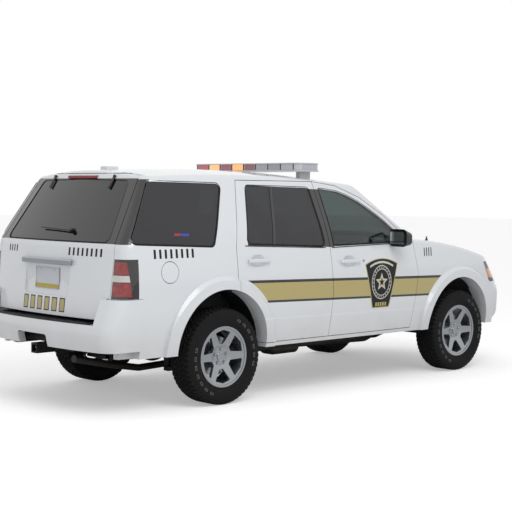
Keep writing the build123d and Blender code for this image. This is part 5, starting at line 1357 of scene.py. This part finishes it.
@dataclass
class Cabin:
    """Seats, dashboard and steering wheel, seen through the glass."""

    seat_x: float = 0.165
    seat_y: float = 0.385
    seat_wide: float = 0.520
    squab_z: float = 0.640
    lean: float = 20.0
    bench_x: float = -0.713
    bench_z: float = 0.672
    bench_pitch: float = 0.3653
    floor_top: float = 0.4555
    seat_foot: Flat = (0.200, 0.205)
    # Lengths and heights of squab and back, which are a little narrower than the seat
    squab: Flat = (0.500, 0.142)
    back: Flat = (0.122, 0.610)
    # Lengths, widths and heights of bolster and headrest
    bolster: tuple[float, float, float] = (0.050, 0.070, 0.46)
    headrest: tuple[float, float, float] = (0.085, 0.240, 0.160)
    # How far a cushion's sides pull in towards its faces, and how full its edge is
    pull: float = 0.35
    fullness: float = 0.45

    def cushion(self, mesh: Mesh, size: Sequence[float], place: Matrix, crown: float) -> None:
        """Crowned pad whose sides pull in between its corners, with a welt round its edge.

        Args:
            mesh: Where it goes.
            size: Length, width and thickness.
            place: Middle of the pad.
            crown: How far its faces swell.
        """
        rows = []
        half = [v / 2 for v in size]
        for t in range(11):
            lift = math.pi * (t / 10 - 0.5)
            pull = abs(math.cos(lift)) ** self.pull
            height = math.copysign(abs(math.sin(lift)) ** self.fullness, math.sin(lift))
            row = []
            for u, v in (squared(angle) for angle in turns(24)):
                x, y = u * pull, v * pull
                swell = math.copysign(crown * (1 - x ** 2) * (1 - y ** 2), height)
                row.append(place @ Vector((x * half[0], y * half[1], height * (half[2] - crown) + swell)))
            rows.append(row)
        mesh.grid(rows, wrap=True)
        mesh.fan(handed(rows[0], False))
        mesh.fan(rows[-1])
        welt = [place @ Vector((u * half[0] * 0.985, v * half[1] * 0.985, half[2] * 0.34))
                for u, v in (squared(angle) for angle in turns(40))]
        mesh.tube(welt, 0.0035, 6, closed=True, finish=1)

    def seat(self, mesh: Mesh, x: float, y: float, low: float, wide: float) -> None:
        """One seat: squab, backrest with side bolsters and a headrest on two posts.

        Args:
            mesh: Where it goes.
            x: Middle of the squab.
            y: Middle of the seat.
            low: Height of the squab's underside.
            wide: Width.
        """
        (long, thick), (deep, tall) = self.squab, self.back
        self.cushion(mesh, (long, wide - 0.01, thick), Matrix.Translation((x + 0.015, y, low + 0.075)), 0.020)
        tilt = Matrix.Rotation(math.radians(-self.lean), 4, "Y")
        foot = Matrix.Translation((x - 0.215, y, low + 0.06)) @ tilt
        self.cushion(mesh, (deep, wide - 0.03, tall), foot @ Matrix.Translation((0, 0, 0.312)), 0.012)
        for side in (-1, 1):
            at = Matrix.Translation((0.036, side * (wide / 2 - 0.056), 0.29))
            self.cushion(mesh, self.bolster, foot @ at, 0.006)
        self.cushion(mesh, self.headrest, foot @ Matrix.Translation((0, 0, 0.690)), 0.012)
        for side in (-1, 1):
            post = [foot @ Vector((0, side * 0.06, height)) for height in (0.60, 0.63)]
            mesh.tube(post, 0.007, 10, finish=2)

    def pads(self, mesh: Mesh, name: str, node: str) -> None:
        """Make a padded piece that stands for a node."""
        made = mesh.piece(name, "root", "seat_cloth", [CLOTH, PIPING, CHROME, CABIN], 50, [node])

    def seats(self) -> None:
        """Front seats on their frames and the rear bench, as padded pieces."""
        mesh = Mesh()
        for side in (-1, 1):
            x, y = self.seat_x, side * self.seat_y
            self.seat(mesh, x, y, self.squab_z, self.seat_wide)
            long, wide = self.seat_foot
            mesh.slab((x - long, y - wide, self.floor_top), (x + long, y + wide, 0.650), 0.012, finish=3)
        self.pads(mesh, "front_seat_pads", "front_seats")
        mesh = Mesh()
        for at in (-1, 0, 1):
            self.seat(mesh, self.bench_x, at * self.bench_pitch, self.bench_z, self.bench_pitch)
        for right, left in ((-0.537, -0.166), (0.166, 0.537)):
            mesh.slab((-0.862, right, self.floor_top), (-0.524, left, 0.700), 0.012, finish=3)
        self.pads(mesh, "rear_bench_pads", "rear_bench")

    def build(self) -> None:
        """Make the seats, and dress the dashboard, steering wheel and floor."""
        self.seats()
        dress(CABIN, "dashboard", "steering_wheel")
        dress(FLOOR, "floor_pan")


@dataclass
class Underside:
    """Frame, suspension and drive below the floor."""

    def build(self) -> None:
        """Dress every piece of the underside."""
        dress(CHASSIS, "chassis_frame", "front_suspension", "rear_suspension", "fuel_tank")
        dress(CAST, *both("front_knuckle"), "power_unit")
        dress(STEEL, "exhaust", "driveline")
        dress(TRIM, "radiator")


@dataclass
class Mirrors:
    """Mirror glasses in the door mirrors."""

    out: float = 0.092
    height: float = 1.240
    half: Flat = (0.072, 0.052)

    def build(self) -> None:
        """Set a glass in each housing, facing back."""
        shares = [s / 3 - 1 for s in range(7)]
        for side, sign in SIDES:
            low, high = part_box(f"door_mirror_{side}")
            tree = surface(f"door_mirror_{side}")
            middle = min(abs(low.y), abs(high.y)) + self.out
            wide, tall = self.half
            rows = [[laid(tree, Vector((0, sign * (middle + wide * u), self.height + tall * v)), AHEAD, 0.002)
                     for u in shares] for v in shares]
            glass = Mesh().grid(handed(rows, sign < 0))
            glass.piece(f"mirror_glass_{side}", f"front_door_{side}", "bright_trim", [MIRROR_GLASS], 30)


def placed(name: str, data: bpy.types.ID) -> bpy.types.Object:
    """Put an object in the scene.

    Args:
        name: Its name.
        data: Its mesh, camera or lamp.

    Returns:
        The object.
    """
    made = bpy.data.objects.new(name, data)
    bpy.context.scene.collection.objects.link(made)
    return made


@dataclass
class Studio:
    """Camera, floor and light."""

    place: tuple[float, float, float] = (-7.541, -7.819, 1.623)
    yaw: float = 46.62
    pitch: float = -2.982
    roll: float = -0.551
    focal_px: float = 1235.7
    frame_px: int = 512
    sensor_mm: float = 36.0
    floor_half: float = 60.0
    floor_lift: float = 0.36
    sky_level: float = 0.60

    def camera(self) -> None:
        """Camera at the photograph's place, turn and focal length."""
        data = bpy.data.cameras.new("camera")
        data.sensor_width = self.sensor_mm
        data.lens = self.focal_px / self.frame_px * self.sensor_mm
        made = placed("camera", data)
        yaw, pitch = math.radians(self.yaw), math.radians(self.pitch)
        ahead = Vector((math.cos(yaw) * math.cos(pitch), math.sin(yaw) * math.cos(pitch), math.sin(pitch)))
        turn = ahead.to_track_quat("-Z", "Y").to_matrix().to_4x4()
        roll = Matrix.Rotation(math.radians(-self.roll), 4, "Z")
        made.matrix_world = Matrix.Translation(self.place) @ turn @ roll
        bpy.context.scene.camera = made

    def floor(self) -> None:
        """Plain pale floor that keeps the shadow."""
        half = self.floor_half
        data = bpy.data.meshes.new("floor")
        corners = [(-half, -half, 0), (half, -half, 0), (half, half, 0), (-half, half, 0)]
        data.from_pydata(corners, [], [(0, 1, 2, 3)])
        made = placed("floor", data)
        material = bpy.data.materials.new("pale_floor")
        material.use_nodes = True
        tree = material.node_tree
        shader = tree.nodes["Principled BSDF"]
        shader.inputs["Base Color"].default_value = linear("#F4F4F4")
        shader.inputs["Roughness"].default_value = 0.9
        shader.inputs["Emission Color"].default_value = linear("#FFFFFF")
        seen = add(tree, "ShaderNodeLightPath").outputs["Is Camera Ray"]
        lift = add(tree, MATH, [seen, self.floor_lift], operation="MULTIPLY")
        tree.links.new(lift.outputs[0], shader.inputs["Emission Strength"])
        data.materials.append(material)

    def sky(self) -> None:
        """Even pale sky, white to the camera and in reflections."""
        world = bpy.data.worlds.new("sky")
        world.use_nodes = True
        tree = world.node_tree
        tree.nodes.clear()
        rays = add(tree, "ShaderNodeLightPath").outputs
        seen = rays["Is Camera Ray"]
        for name in ("Is Transmission Ray", "Is Glossy Ray"):
            seen = add(tree, MATH, [seen, rays[name]], operation="MAXIMUM")
        strength = add(tree, RANGE, {0: seen, 3: self.sky_level, 4: 1.0})
        back = add(tree, "ShaderNodeBackground", {"Color": linear("#FFFFFF"), "Strength": strength})
        add(tree, "ShaderNodeOutputWorld", {"Surface": back})
        bpy.context.scene.world = world

    def lamp(self, name: str, at: Sequence[float], power: float, size: float) -> None:
        """Large soft lamp aimed at the car's middle."""
        data = bpy.data.lights.new(name, "AREA")
        data.energy, data.size = power, size
        made = placed(name, data)
        made.location = at
        made.rotation_mode = "QUATERNION"
        made.rotation_quaternion = (Vector((0, 0, 0.8)) - Vector(at)).to_track_quat("-Z", "Y")

    def build(self) -> None:
        """Set the whole stage."""
        self.camera()
        self.floor()
        self.sky()
        self.lamp("key", (-3.0, -6.0, 7.0), 260.0, 5.0)
        bpy.context.scene.view_settings.view_transform = "Standard"


def main() -> None:
    """Build the vehicle's looks in order and report each piece."""
    logging.basicConfig(level=logging.INFO, format="%(name)s %(message)s", stream=sys.stdout)
    for part in (Studio(), Bodywork(), Wheels(), Lamps(), LightBar(), Mirrors(), Cabin(), Underside()):
        part.build()


if __name__ == "__main__":
    main()
